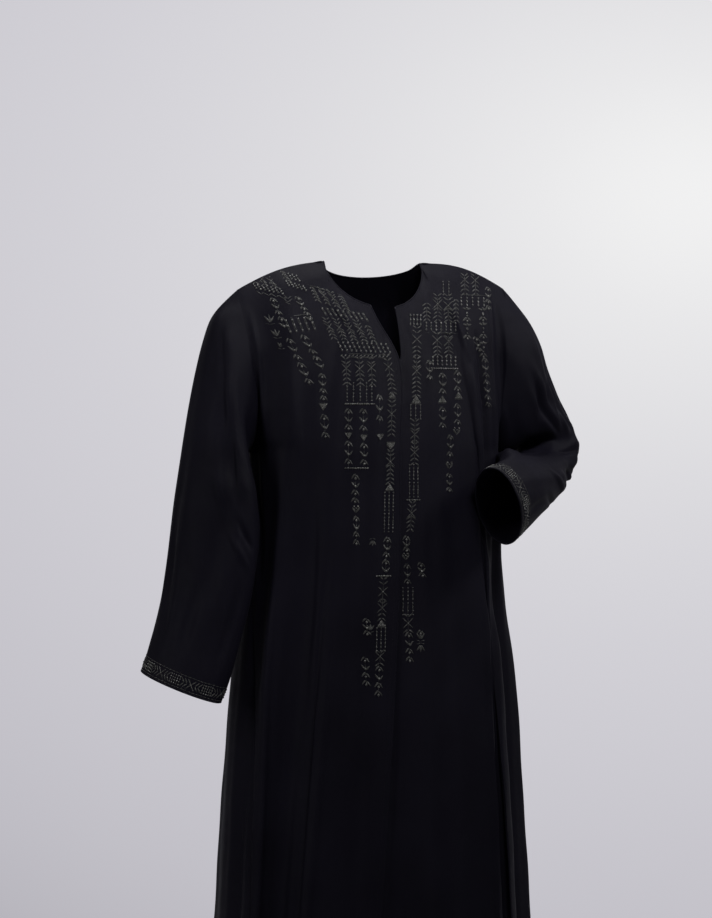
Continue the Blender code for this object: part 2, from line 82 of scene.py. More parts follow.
# The front edges, which part above the top fastening and lap below it.
FRONT_EDGES = (
    # height, x of the right front's edge, x of the left front's edge
    (-0.060, -0.0200, 0.0190),
    (-0.085, -0.0110, 0.0185),
    (-0.110, 0.0010, 0.0170),
    (-0.131, 0.0080, 0.0150),
    (-0.150, 0.0105, 0.0060),
    (-0.170, 0.0095, -0.0060),
    (UNDERARM_Z, 0.001, -0.019),
    (-0.400, -0.003, -0.023),
    (-0.631, -0.018, -0.038),
    (-0.950, -0.044, -0.064),
    (HEM_Z, -0.075, -0.095),
)

# The section is fuller where the cloth hangs straight down from each armhole's edge.
FULL_ANGLE = 66         # from the centre front, and from the centre back behind
FULL_REACH = 24
FULL_HEIGHT = {"front": 0.004, "behind": 0.008}
FULL_GONE_Z = -0.52

# Depth of the chest and of the back along their centre lines, above the underarm.
FRONT_CENTRE = (
    # height, y
    (-0.060, -0.055),
    (-0.085, -0.069),
    (-0.115, -0.084),
    (-0.150, -0.099),
    (-0.205, -0.115),
    (UNDERARM_Z, -0.125),
)
BACK_CENTRE = (
    # height, y
    (-0.012, 0.050),
    (-0.060, 0.078),
    (-0.120, 0.099),
    (-0.190, 0.110),
    (UNDERARM_Z, 0.112),
)

# How soon the cloth comes away from the armhole's line, in the fronts and in the back.
FRONT_HOLD = 5
BACK_HOLD = 2.5
YOKE_TURN = 0.65        # the less, the sooner a yoke turns down past the shoulder

# The armhole seam, from the shoulder tip down to the underarm.
ARMHOLE = (
    # share of the seam, x, y in front, y behind, share of the drop to the underarm
    (0.00, SHOULDER_X, 0.000, 0.000, 0.00),
    (0.20, 0.203, -0.030, 0.030, 0.18),
    (0.45, 0.194, -0.048, 0.049, 0.44),
    (0.70, 0.186, -0.048, 0.050, 0.70),
    (0.88, 0.184, -0.031, 0.033, 0.90),
    (1.00, 0.187, 0.000, 0.000, 1.00),
)

# Flutes and creases that run down the cloak: each follows three angles and has a soft and a
# crisp side. A positive height is a ridge and a negative one a trough.
FLUTES = (
    # name, angle at underarm, at hip, at hem, reach before, reach after, begins, at hip, at hem
    ("right front trough", -41, -44, -58, 12, 8, -0.20, -0.016, -0.026),
    ("right front ridge", -54, -59, -68, 8, 8, -0.16, 0.008, 0.013),
    ("right side crease", -74, -71, -77, 7, 6, -0.42, -0.005, -0.009),
    ("left chest ridge", 40, 41, 41, 16, 3.5, 0.00, 0.007, 0.010),
    ("left chest valley", 43, 43.3, 44, 3, 3, -0.15, -0.004, -0.003),
    ("left front ridge", 45, 45.5, 47, 4, 9, -0.03, 0.009, 0.013),
    ("left front trough", 61, 62, 64, 9, 11, -0.14, -0.012, -0.021),
    ("left side ridge", 77, 78, 79, 8, 9, -0.42, 0.006, 0.010),
    ("left back ridge", 107, 109, 112, 11, 10, -0.40, 0.007, 0.013),
    ("left back trough", 127, 130, 133, 11, 13, -0.26, -0.012, -0.022),
    ("left blade ridge", 148, 151, 154, 12, 9, -0.16, 0.008, 0.014),
    ("centre back trough", 169, 172, 174, 14, 12, -0.24, -0.010, -0.019),
    ("right blade ridge", 196, 197, 199, 13, 12, -0.17, 0.008, 0.012),
    ("right back trough", 222, 220, 218, 12, 13, -0.28, -0.013, -0.023),
    ("right back ridge", 243, 246, 247, 11, 11, -0.38, 0.007, 0.012),
)
HIP_Z = -0.630
FLUTE_GROWTH = 0.625    # the share of the yoke's height in which they come in

# The columns of each panel, which follow its flutes.
RIGHT_COLUMNS = (
    # column, angle away from the centre front at underarm, at hip, at hem
    (6, 35, 37, 50),
    (8, 42, 45, 59),
    (11, 54, 59, 68),
    (13, 74, 71, 77),
    (15, 90, 90, 90),
)
LEFT_COLUMNS = (
    (7, 40, 41, 41),
    (8, 43, 43.3, 44),
    (9, 45, 45.5, 47),
    (11, 61, 62, 64),
    (13, 77, 78, 79),
    (15, 90, 90, 90),
)
BACK_COLUMNS = (
    (0, 90, 90, 90),
    (2, 107, 109, 112),
    (5, 127, 130, 133),
    (8, 148, 151, 154),
    (10, 169, 172, 174),
    (11, 180, 181, 183),
    (14, 196, 197, 199),
    (17, 222, 220, 218),
    (20, 243, 246, 247),
    (22, 270, 270, 270),
)

# Each sleeve's sections beyond its armhole. The outer line runs down the outside of the arm,
# the inner line from the underarm, and the front line between them before the arm.
RIGHT_SLEEVE = (
    # outer x, y, z, inner x, y, z, front x, y, z
    (-0.2380, 0.004, -0.072, -0.1965, -0.015, -0.278, -0.2190, -0.062, -0.176),
    (-0.2600, 0.012, -0.145, -0.1920, -0.054, -0.322, -0.2350, -0.074, -0.234),
    (-0.2755, 0.022, -0.235, -0.1930, -0.074, -0.356, -0.2540, -0.072, -0.296),
    (-0.2890, 0.026, -0.330, -0.1970, -0.081, -0.403, -0.2670, -0.066, -0.367),
    (-0.3010, 0.020, -0.420, -0.2060, -0.080, -0.465, -0.2780, -0.067, -0.443),
    (-0.3170, 0.008, -0.500, -0.2230, -0.077, -0.540, -0.2960, -0.069, -0.520),
    (-0.3350, -0.002, -0.553, -0.2400, -0.076, -0.598, -0.3120, -0.074, -0.574),
    (-0.3450, -0.005, -0.578, -0.2500, -0.075, -0.622, -0.3220, -0.076, -0.598),
)
LEFT_SLEEVE = (
    (0.2430, 0.008, -0.074, 0.1990, 0.004, -0.282, 0.2280, -0.054, -0.174),
    (0.2630, 0.020, -0.116, 0.2100, 0.008, -0.275, 0.2440, -0.050, -0.190),
    (0.2820, 0.035, -0.171, 0.2210, 0.012, -0.265, 0.2610, -0.042, -0.210),
    (0.3010, 0.048, -0.210, 0.2320, 0.014, -0.2575, 0.2800, -0.033, -0.226),
    (0.3260, 0.060, -0.254, 0.2430, 0.010, -0.258, 0.3020, -0.010, -0.251),
    (0.3060, 0.032, -0.306, 0.2290, -0.030, -0.2700, 0.2970, -0.031, -0.283),
    (0.2600, -0.030, -0.338, 0.1990, -0.078, -0.2730, 0.2620, -0.082, -0.303),
    (0.2060, -0.098, -0.370, 0.1610, -0.130, -0.279, 0.2080, -0.145, -0.321),
    (0.1580, -0.134, -0.401, 0.1240, -0.162, -0.291, 0.1600, -0.186, -0.346),
)

# Creases across a sleeve: they run between two places, each given by the angle round the arm
# (0 is the outer line, 90 the front, 180 the inner line) and the share of the length.
RIGHT_SLEEVE_CREASES = (
    # name, angle 1, share 1, angle 2, share 2, half width, height
    ("armhole crease", 35, 0.10, 150, 0.42, 0.020, -0.006),
    ("inner trough", 118, 0.30, 100, 0.80, 0.026, -0.008),
    ("front ridge", 70, 0.20, 62, 0.90, 0.024, 0.005),
)
LEFT_SLEEVE_CREASES = (
    ("armhole crease", 40, 0.06, 110, 0.34, 0.018, -0.005),
    ("elbow ridge", 10, 0.47, 112, 0.40, 0.020, 0.005),
    ("elbow trough", 10, 0.57, 118, 0.53, 0.018, -0.007),
    ("forearm ridge", 25, 0.66, 120, 0.65, 0.022, 0.004),
)

# ------------------------------------------------------------------ curves and waves
def smooth_curve(places, values, at):
    """Values read along a smooth curve through a table, without overshoot."""
    places = np.asarray(places, float)
    values = np.asarray(values, float).reshape(len(places), -1)
    at = np.atleast_1d(np.asarray(at, float))
    steps = np.diff(places)[:, None]
    rises = np.diff(values, axis=0) / steps
    slopes = np.empty_like(values)
    slopes[0], slopes[-1] = rises[0], rises[-1]
    for i in range(1, len(places) - 1):
        before, after = rises[i - 1], rises[i]
        same_way = before * after > 0
        total = np.where(same_way, before + after, 1.0)
        slopes[i] = np.where(same_way, 2 * before * after / total, 0.0)
    index = np.clip(np.searchsorted(places, at) - 1, 0, len(places) - 2)
    step = steps[index]
    t = np.clip((at - places[index])[:, None] / step, 0, 1)
    return (values[index] * (2 * t**3 - 3 * t**2 + 1)
            + slopes[index] * step * (t**3 - 2 * t**2 + t)
            + values[index + 1] * (3 * t**2 - 2 * t**3)
            + slopes[index + 1] * step * (t**3 - t**2))


def by_height(table, z):
    """The rest of a table's columns at height z; its first column falls from row to row."""
    table = np.asarray(table, float)
    return smooth_curve(-table[:, 0], table[:, 1:], -np.atleast_1d(z))


def soft_step(x):
    x = np.clip(x, 0, 1)
    return x * x * (3 - 2 * x)


def bump(x):
    """1 at the middle, falling smoothly to 0 at -1 and 1."""
    return np.clip(1 - np.asarray(x) ** 2, 0, None) ** 2


# ------------------------------------------------------------------ the body's surface
def section_point(angle, z):
    """A point of the cloak's section, which is a half ellipse before and one behind."""
    width, front, back = by_height(SECTIONS, z)[0]
    turn = math.radians(angle)
    before = math.cos(turn) >= 0
    depth = front if before else back
    point = np.array((width * math.sin(turn), -depth * math.cos(turn), z))
    outward = np.array((depth * math.sin(turn), -width * math.cos(turn), 0.0))
    from_centre = math.degrees(math.acos(abs(math.cos(turn))))
    fullness = FULL_HEIGHT["front" if before else "behind"]
    fullness *= bump((from_centre - FULL_ANGLE) / FULL_REACH)
    fullness *= 1 - soft_step((UNDERARM_Z - z) / (UNDERARM_Z - FULL_GONE_Z))
    return point + outward / np.linalg.norm(outward) * fullness


def flute_height(angle, z):
    """How far the flutes lift the cloth out (or, below zero, in) at one place."""
    height = 0.0
    for _, under, hip, hem, reach_before, reach_after, begins, at_hip, at_hem in FLUTES:
        heights = (UNDERARM_Z, HIP_Z, HEM_Z)
        centre = np.interp(-z, -np.array(heights), (under, hip, hem))
        away = (angle - centre + 180) % 360 - 180
        reach = reach_after if away > 0 else reach_before
        grown = soft_step((begins - z) / (begins - HIP_Z)) if z > HIP_Z else 1.0
        fall = max(0.0, (HIP_Z - z) / (HIP_Z - HEM_Z))
        height += bump(away / reach) * grown * (at_hip + (at_hem - at_hip) * fall)
    return float(height)


def column_angle(columns, column, z, edge_angle=None):
    """The angle away from the centre front at which a panel's column stands."""
    rows = list(columns)
    if edge_angle is not None:
        rows.insert(0, (0, edge_angle, edge_angle, edge_angle))
    numbers = [row[0] for row in rows]
    heights = (UNDERARM_Z, HIP_Z, HEM_Z)
    angles = [np.interp(-z, -np.array(heights), row[1:]) for row in rows]
    return float(np.interp(column, numbers, angles))


def yoke_patch(top, bottom, centre, armhole, hold):
    """A surface inside four edges; top and bottom run from the centre to the armhole.

    It leaves the shoulder forwards and then turns down, so its depth grows early.
    """
    rows, columns = len(centre), len(top)
    down = np.linspace(0, 1, rows)[:, None]
    early = (1 - (1 - down) ** 2) ** YOKE_TURN
    share = np.concatenate((down, early, down), axis=1)[:, None, :]
    across = np.linspace(0, 1, columns)[None, :, None]
    between = (1 - share) * top[None] + share * bottom[None]
    centre_lift = centre[:, None] - ((1 - share) * centre[0] + share * centre[-1])
    armhole_lift = armhole[:, None] - ((1 - share) * armhole[0] + share * armhole[-1])
    return between + (1 - soft_step(across)) * centre_lift + across**hold * armhole_lift


def shoulder_seam(side):
    """The seam from the neckline out to the shoulder tip, towards +X."""
    share = np.linspace(0, 1, SHOULDER_COLUMNS + 1)[:, None]
    neck = np.array((NECK_HALF_WIDTH, 0.0, NECK_TOP_Z))
    tip = np.array((SHOULDER_X, 0.0, SHOULDER_Z[side]))
    seam = neck + (tip - neck) * share
    seam[:, 2] += SHOULDER_RISE[side] * np.sin(math.pi * share[:, 0])
    return seam


def neckline(depth, low_z, start_x, columns):
    """A quarter of the neckline, from x = start_x at the centre out to the shoulder seam."""
    turn = np.linspace(math.asin(start_x / NECK_HALF_WIDTH), math.pi / 2, columns + 1)
    return np.stack((NECK_HALF_WIDTH * np.sin(turn),
                     depth * np.cos(turn),
                     low_z + (NECK_TOP_Z - low_z) * (1 - np.cos(turn))), axis=1)


def armhole_seam(side, behind):
    """Half of an armhole, from the shoulder tip down, towards +X."""
    rows = np.array(ARMHOLE)
    seam = smooth_curve(rows[:, 0], rows[:, 1:], np.linspace(0, 1, YOKE_ROWS + 1))
    seam[:, 3] = SHOULDER_Z[side] + (UNDERARM_Z - SHOULDER_Z[side]) * seam[:, 3]
    return seam[:, (0, 2 if behind else 1, 3)]


def skirt_heights():
    return np.linspace(UNDERARM_Z, HEM_Z, SKIRT_ROWS + 1)


def mirrored(points):
    return points * np.array((-1.0, 1.0, 1.0))


def front_edge_x(z, side):
    right_edge, left_edge = by_height(FRONT_EDGES, z)[0]
    return right_edge if side < 0 else left_edge


def edge_angle(z, side):
    """The front edge's angle away from the centre front, towards its own side seam."""
    width = by_height(SECTIONS, z)[0][0]
    return math.degrees(math.asin(side * front_edge_x(z, side) / width))


def front_grid(side, columns):
    """A front's outer face, as rows of points from its front edge to its side seam.

    side is -1 for the wearer's right front and 1 for the left one. The grid is worked out
    towards +X and turned over for the right front.
    """
    top_z = FRONT_EDGES[0][0]
    count = NECK_COLUMNS + SHOULDER_COLUMNS + 1
    start_x = side * front_edge_x(top_z, side)
    neck = neckline(NECK_FRONT[0], NECK_FRONT[1], start_x, NECK_COLUMNS)
    top = np.concatenate((neck, shoulder_seam(side)[1:]))
    angles = [column_angle(columns, i, UNDERARM_Z, edge_angle(UNDERARM_Z, side))
              for i in range(count)]
    bottom = np.array([section_point(angle, UNDERARM_Z) for angle in angles])
    heights = np.linspace(top[0][2], UNDERARM_Z, YOKE_ROWS + 1)
    centre = np.array([(side * front_edge_x(z, side), by_height(FRONT_CENTRE, z)[0][0], z)
                       for z in heights])
    centre[0], centre[-1] = top[0], bottom[0]
    yoke = yoke_patch(top, bottom, centre, armhole_seam(side, behind=False), FRONT_HOLD)
    skirt = np.array([[section_point(column_angle(columns, i, z, edge_angle(z, side)), z)
                       for i in range(count)] for z in skirt_heights()[1:]])
    grid = np.concatenate((yoke, skirt))
    return mirrored(grid) if side < 0 else grid


def back_grid():
    """The back's outer face, as rows of points from the left side seam to the right one."""
    half = BACK_NECK_COLUMNS + SHOULDER_COLUMNS
    neck = neckline(NECK_BACK[0], NECK_BACK[1], 0.0, BACK_NECK_COLUMNS)
    left_top, right_top = [np.concatenate((neck, shoulder_seam(side)[1:])) for side in (1, -1)]
    heights = np.linspace(NECK_BACK[1], UNDERARM_Z, YOKE_ROWS + 1)
    centre = np.array([(0.0, by_height(BACK_CENTRE, z)[0][0], z) for z in heights])
    angles = [column_angle(BACK_COLUMNS, i, UNDERARM_Z) for i in range(2 * half + 1)]
    bottom = np.array([section_point(angle, UNDERARM_Z) for angle in angles])
    centre_bottom = section_point(180, UNDERARM_Z)
    left_bottom = np.concatenate((bottom[:half], [centre_bottom]))[::-1]
    right_bottom = mirrored(np.concatenate(([centre_bottom], bottom[half + 1:])))
    left = yoke_patch(left_top, left_bottom, centre, armhole_seam(1, behind=True), BACK_HOLD)
    right = yoke_patch(right_top, right_bottom, centre, armhole_seam(-1, behind=True), BACK_HOLD)
    yoke = np.concatenate((left[:, ::-1], mirrored(right)[:, 1:]), axis=1)
    skirt = np.array([[section_point(column_angle(BACK_COLUMNS, i, z), z)
                       for i in range(2 * half + 1)] for z in skirt_heights()[1:]])
    return np.concatenate((yoke, skirt))


def grid_angles(columns, count, side=1):
    """The angle round the body of every point of a panel's grid."""
    heights = np.concatenate((np.full(YOKE_ROWS, UNDERARM_Z), skirt_heights()))
    fronts = columns is not BACK_COLUMNS
    angles = [[column_angle(columns, i, z, edge_angle(z, side) if fronts else None)
               for i in range(count)] for z in heights]
    return side * np.array(angles)


def grid_normals(grid, closed, heart):
    """Unit normals of a grid of points, facing away from the points in heart."""
    if closed:
        along = np.roll(grid, -1, axis=1) - np.roll(grid, 1, axis=1)
    else:
        along = np.gradient(grid, axis=1)
    down = np.gradient(grid, axis=0)
    normals = np.cross(along, down)
    normals /= np.linalg.norm(normals, axis=2, keepdims=True)
    facing = np.sum(normals * (grid - heart))
    return normals * np.sign(facing)


def body_heart(grid):
    """The middle of the body at each point's height, kept below the shoulders."""
    heart = np.zeros_like(grid)
    heart[..., 2] = np.minimum(grid[..., 2], 2 * SHOULDER_Z[-1])
    return heart


def with_flutes(grid, angles):
    normals = grid_normals(grid, False, body_heart(grid))
    lifts = np.array([[flute_height(angle, point[2]) for angle, point in zip(*row)]
                      for row in zip(angles, grid)])
    fade = np.ones(len(grid))
    fade[:YOKE_ROWS] = soft_step(np.linspace(0, 1 / FLUTE_GROWTH, YOKE_ROWS + 1)[:-1])
    return grid + normals * (lifts * fade[:, None])[..., None]


def with_lap(grid):
    """The left front, its edge sunk below the right front's."""
    normals = grid_normals(grid, False, body_heart(grid))
    widths = np.linalg.norm(np.diff(grid, axis=1), axis=2)
    inwards = np.concatenate((np.zeros((len(grid), 1)), np.cumsum(widths, axis=1)), axis=1)
    sunk = 1 - soft_step((inwards - LAP_FLAT) / LAP_BLEND)
    return grid - normals * (LAP_STEP * sunk)[..., None]


# ------------------------------------------------------------------ sleeves
def armhole_loop(side):
    """An armhole, from the shoulder tip down its front and up its back."""
    front = armhole_seam(side, behind=False)
    behind = armhole_seam(side, behind=True)
    loop = np.concatenate((front, behind[-2:0:-1]))
    return mirrored(loop) if side < 0 else loop


def sleeve_grid(sections, loop):
    """A sleeve's outer face, as rings of points from its armhole to its cuff."""
    around = np.linspace(0, 2 * math.pi, len(loop), endpoint=False)[:, None]
    rings = [loop]
    for row in sections:
        outer, inner, front = np.array(row).reshape(3, 3)
        centre = (outer + inner) / 2
        rings.append(centre + (outer - centre) * np.cos(around) + (front - centre) * np.sin(around))
    rings = np.array(rings)
    travel = np.linalg.norm(np.diff(rings.mean(axis=1), axis=0), axis=1)
    places = np.concatenate(([0.0], np.cumsum(travel))) / travel.sum()
    flat = smooth_curve(places, rings.reshape(len(rings), -1), np.linspace(0, 1, SLEEVE_ROWS + 1))
    return flat.reshape(SLEEVE_ROWS + 1, len(loop), 3)


def with_creases(grid, creases):
    """A sleeve with its creases pressed in and ridges raised."""
    rings = grid.mean(axis=1, keepdims=True)
    normals = grid_normals(grid, True, rings)
    length = np.linalg.norm(np.diff(rings[:, 0], axis=0), axis=1).sum()
    radius = np.linalg.norm(grid - rings, axis=2).mean()
    share = np.linspace(0, 1, len(grid))[:, None]
    angle = np.linspace(0, 360, grid.shape[1], endpoint=False)[None, :]
    lift = np.zeros(grid.shape[:2])
    for _, angle_1, share_1, angle_2, share_2, half_width, height in creases:
        start = np.array((math.radians(angle_1) * radius, share_1 * length))
        run = np.array((math.radians(angle_2) * radius, share_2 * length)) - start
        x = np.radians(angle) * radius - start[0]
        y = share * length - start[1]
        along = (x * run[0] + y * run[1]) / (run @ run)
        aside = (x * run[1] - y * run[0]) / np.linalg.norm(run)
        lift += height * bump(aside / half_width) * bump(2 * along - 1)
    return grid + normals * lift[..., None]


# ------------------------------------------------------------------ the finer cloth
LOOK_WALL = 0.0012      # the thickness of cloth that shows at the edges
FINE_COLUMNS = 6        # fine columns in each of the solid's
FINE_YOKE_ROWS = 5
FINE_SKIRT_ROWS = 7
FINE_RINGS = 8
CREASE_GAIN = 1.5       # how much deeper than in the tables the body's creases are worn
FOLD_GAIN = 1.45        # and the sleeves' folds
FADE_ROWS = 12          # over which a panel's folds grow from its top edge
FADE_COLUMNS = 5        # and from its sides
CAP_FADE_RINGS = 10     # over which a sleeve's folds grow from its armhole
CUFF_FADE_RINGS = 12    # and flatten towards its cuff
CUFF_FOLDS = 0.35       # the share of them that is left there
SEAM_DEPTH = 0.0007     # how far a sewn seam draws the cloth in
SEAM_REACH = 0.005
ROLL = 0.0011           # half the thickness of a turned edge
ROLL_FLAT = 1.25        # how much wider than thick it is
STITCH = 0.0032         # length of a topstitch
STITCH_PITCH = 0.0046
STITCH_HALF = 0.00032   # its half width
STITCH_HIGH = 0.0004
STITCH_LIFT = 0.0001    # of the row above the cloth's face
EDGE_STITCH = 0.0065    # from a turned edge to its stitching
HEM_STITCH = 0.022

# The view from which the folds and the embroidery are laid out: 18 degrees to the wearer's
# right of straight ahead. Across runs to the right of that view.
VIEW_TURN = math.radians(18)
AHEAD = np.array((math.sin(VIEW_TURN), math.cos(VIEW_TURN), 0.0))
ACROSS = np.array((math.cos(VIEW_TURN), -math.sin(VIEW_TURN), 0.0))
UP = np.array((0.0, 0.0, 1.0))

RIPPLES = (
    # height, waves round the body, waves down it, share of the seed, share above the underarm
    (0.0011, 17, 2.1, 1.0, 0),
    (0.0006, 29, -3.7, 2.3, 1),
    (0.0005, 5, 23, 1.0, 1),
    (0.0003, -11, 61, 0.7, 1),
)
SLEEVE_RIPPLES = (
    # height, waves round the arm, waves down it
    (0.0006, 5, 7),
    (0.0004, 11, -23),
)
CREASE_SWAY = 0.004     # how far a crease wanders off its line

# Soft creases of the fronts: each runs through three places, given by how far across and how
# high they are, in millimetres. A crisp side makes the fold fall off sooner on the right.
RIGHT_CREASES = (
    # name, across 1, height 1, across 2, height 2, across 3, height 3, half width, depth, crisp
    ("armhole fold", -198, -60, -178, -150, -160, -268, 13, -6.0, 0.7),
    ("armhole ridge", -176, -62, -158, -160, -146, -300, 10, 3.0, 0.7),
    ("underarm fold", -168, -235, -163, -330, -160, -470, 10, -3.0, 0.7),
    ("drag from shoulder", -150, -70, -128, -190, -112, -330, 20, -1.6, 1.2),
    ("drag ridge", -126, -120, -108, -260, -100, -420, 18, 1.5, 0.8),
    ("chest drape", -96, -150, -86, -300, -88, -460, 16, -1.2, 1.0),
    ("long crease", -170, -440, -171, -700, -180, -1300, 6, -3.4, 0.6),
    ("outer ridge", -116, -190, -150, -606, -176, -1330, 12, 2.8, 0.55),
    ("long fine ridge", -150, -640, -160, -880, -176, -1200, 9, 1.6, 1.2),
    ("trough edge", -60, -400, -94, -760, -146, -1390, 12, -4.6, 0.3),
    ("trough lip", -50, -430, -78, -760, -128, -1390, 9, 2.2, 1.0),
    ("front soft fold", -30, -640, -38, -860, -52, -1240, 26, -1.8, 1.1),
    ("front soft ridge", 8, -700, 0, -930, -14, -1330, 24, 1.3, 1.0),
    ("low fold", -118, -1050, -128, -1180, -140, -1400, 14, -2.0, 0.8),
    ("neck drag", -88, -30, -44, -70, -6, -110, 9, 0.8, 1.0),
)
LEFT_CREASES = (
    ("chest lip", 114, -48, 146, -140, 162, -330, 9, 3.4, 0.4),
    ("chest valley", 152, -92, 166, -205, 170, -420, 6, -6.5, 0.9),
    ("far lip", 172, -26, 177, -190, 176, -400, 5, 3.6, 1.3),
    ("chest plane", 118, -60, 136, -140, 157, -205, 15, 1.6, 0.45),
    ("shoulder drag", 176, -30, 190, -110, 196, -210, 11, -2.4, 0.8),
    ("armhole ridge", 196, -48, 206, -120, 208, -200, 8, 1.6, 0.8),
    ("front lip", 168, -310, 166, -560, 200, -1390, 7, 3.2, 0.4),
    ("front lip trough", 178, -320, 176, -560, 212, -1390, 8, -4.4, 1.1),
    ("waist dip", 128, -300, 122, -430, 126, -600, 18, -1.3, 1.2),
    ("side fold", 178, -430, 184, -640, 196, -1000, 8, -2.2, 0.6),
    ("front soft fold", 92, -420, 96, -700, 104, -1180, 26, -1.5, 1.0),
    ("front soft ridge", 66, -560, 62, -840, 60, -1260, 20, 1.2, 1.0),
    ("low fold", 132, -900, 140, -1100, 152, -1390, 15, -2.2, 0.7),
    ("low ridge", 112, -960, 116, -1140, 120, -1400, 12, 1.5, 0.8),
    ("neck drag", 70, -36, 82, -84, 86, -150, 9, -0.9, 1.0),
)
# The back's creases, by x and height.
BACK_CREASES = (
    ("left armhole fold", 166, -90, 150, -180, 142, -300, 14, -3.5, 0.8),
    ("right armhole fold", -168, -80, -154, -170, -146, -290, 15, -3.8, 0.9),
    ("left blade fold", 110, -120, 96, -260, 92, -460, 18, -1.8, 1.1),
    ("right blade fold", -112, -110, -100, -240, -92, -430, 17, -1.7, 0.9),
    ("centre drag", 6, -60, 2, -200, 10, -380, 16, -1.2, 1.0),
    ("left long fold", 60, -420, 66, -760, 78, -1240, 18, -2.4, 0.8),
    ("left long ridge", 132, -380, 140, -700, 158, -1150, 13, 2.0, 0.6),
    ("right long fold", -46, -520, -52, -820, -64, -1330, 20, -2.2, 1.1),
    ("right long ridge", -128, -450, -136, -800, -150, -1250, 14, 1.9, 0.7),
    ("left hem fold", 100, -1000, 106, -1180, 118, -1400, 12, -2.0, 0.8),
    ("right hem fold", -96, -940, -102, -1160, -112, -1400, 13, -2.0, 0.7),
    ("middle hem fold", 18, -980, 20, -1180, 24, -1400, 12, 1.6, 0.9),
)
# Finer creases of the sleeves, by the angle round the arm and the share of the length.
RIGHT_SLEEVE_FOLDS = (
    # name, angle 1, share 1, angle 2, share 2, half width, height
    ("cap dimple", 20, 0.03, 70, 0.16, 0.012, -0.0018),
    ("cap ridge", 60, 0.05, 96, 0.26, 0.011, 0.0018),
    ("front drag", 84, 0.16, 128, 0.40, 0.011, -0.0030),
    ("front drag ridge", 74, 0.24, 116, 0.50, 0.011, 0.0020),
    ("elbow crease", 120, 0.40, 170, 0.52, 0.010, -0.0030),
    ("elbow ridge", 112, 0.46, 168, 0.60, 0.010, 0.0022),
    ("outer long fold", 34, 0.35, 44, 0.88, 0.016, -0.0022),
    ("forearm fold", 96, 0.60, 84, 0.96, 0.014, -0.0024),
    ("forearm ridge", 66, 0.62, 60, 0.97, 0.012, 0.0018),
    ("inner fold", 150, 0.58, 140, 0.96, 0.014, -0.0022),
    ("back long fold", 262, 0.15, 280, 0.60, 0.018, -0.0026),
    ("back elbow crease", 240, 0.42, 300, 0.50, 0.011, -0.0024),
    ("back forearm fold", 300, 0.62, 290, 0.95, 0.015, -0.0022),
    ("back ridge", 322, 0.40, 312, 0.90, 0.014, 0.0018),
)
LEFT_SLEEVE_FOLDS = (
    ("elbow point", 28, 0.385, 86, 0.385, 0.018, 0.0048),
    ("below the elbow", 34, 0.52, 96, 0.55, 0.022, -0.0046),
    ("crook slack", 240, 0.50, 190, 0.84, 0.026, 0.0100),
    ("crook lip", 202, 0.54, 172, 0.88, 0.020, 0.0056),
    ("long front ridge", 68, 0.04, 92, 0.35, 0.007, 0.0022),
    ("long front valley", 80, 0.05, 108, 0.36, 0.008, -0.0034),
    ("underarm slack", 158, 0.12, 196, 0.27, 0.020, 0.0046),
    ("upper arm ridge", 22, 0.14, 40, 0.40, 0.010, 0.0030),
    ("upper arm valley", 44, 0.12, 62, 0.36, 0.011, -0.0040),
    ("cap ridge", 30, 0.04, 84, 0.22, 0.010, 0.0018),
    ("cap dimple", 64, 0.05, 112, 0.26, 0.010, -0.0020),
    ("front drag", 20, 0.16, 104, 0.36, 0.009, -0.0026),
    ("front drag ridge", 8, 0.24, 96, 0.42, 0.009, 0.0020),
    ("crook crease", 40, 0.38, 132, 0.46, 0.008, -0.0030),
    ("elbow crease", -14, 0.46, 70, 0.48, 0.008, -0.0026),
    ("elbow pucker", -10, 0.52, 96, 0.53, 0.008, 0.0022),
    ("forearm crease", 12, 0.60, 104, 0.61, 0.009, -0.0026),
    ("forearm ridge", 40, 0.66, 124, 0.72, 0.009, 0.0018),
    ("forearm fold", 20, 0.72, 82, 0.84, 0.010, -0.0022),
    ("cuff fold", 62, 0.80, 74, 0.99, 0.010, -0.0016),
    ("outer fold", 330, 0.10, 350, 0.40, 0.014, -0.0026),
    ("back drag", 250, 0.14, 330, 0.40, 0.012, -0.0024),
    ("back elbow crease", 280, 0.44, 350, 0.52, 0.010, -0.0026),
    ("back forearm fold", 300, 0.62, 320, 0.92, 0.012, -0.0020),
)


def catmull(points, closed, factor):
    """Points along the first axis, factor times as many, on a smooth curve through them."""
    if closed:
        padded = np.concatenate((points[-1:], points, points[:2]))
    else:
        padded = np.concatenate((2 * points[:1] - points[1:2], points,
                                 2 * points[-1:] - points[-2:-1]))
    p0, p1, p2, p3 = (padded[i:len(padded) - 3 + i] for i in range(4))
    parts = []
    for t in np.arange(factor) / factor:
        parts.append(0.5 * (2 * p1 + (p2 - p0) * t + (2 * p0 - 5 * p1 + 4 * p2 - p3) * t**2
                            + (3 * p1 - p0 - 3 * p2 + p3) * t**3))
    fine = np.stack(parts, axis=1).reshape((-1,) + points.shape[1:])
    return fine if closed else np.concatenate((fine, points[-1:]))


def refined(grid, closed, row_factors):
    """A piece's grid with more points; row_factors has one factor for each of its strips."""
    steps = np.linalg.norm(np.diff(grid, axis=0), axis=2).mean(axis=1)
    places = np.concatenate(([0.0], np.cumsum(steps)))
    fine_places = [places[i] + (places[i + 1] - places[i]) * np.arange(f) / f
                   for i, f in enumerate(row_factors)]
    fine_places = np.concatenate(fine_places + [places[-1:]])
    rows = smooth_curve(places, grid.reshape(len(grid), -1), fine_places)
    rows = rows.reshape(len(fine_places), grid.shape[1], 3)
    return catmull(rows.transpose(1, 0, 2), closed, FINE_COLUMNS).transpose(1, 0, 2)


def outward_normals(grid, closed):
    heart = grid.mean(axis=1, keepdims=True) if closed else body_heart(grid)
    return grid_normals(grid, closed, heart)


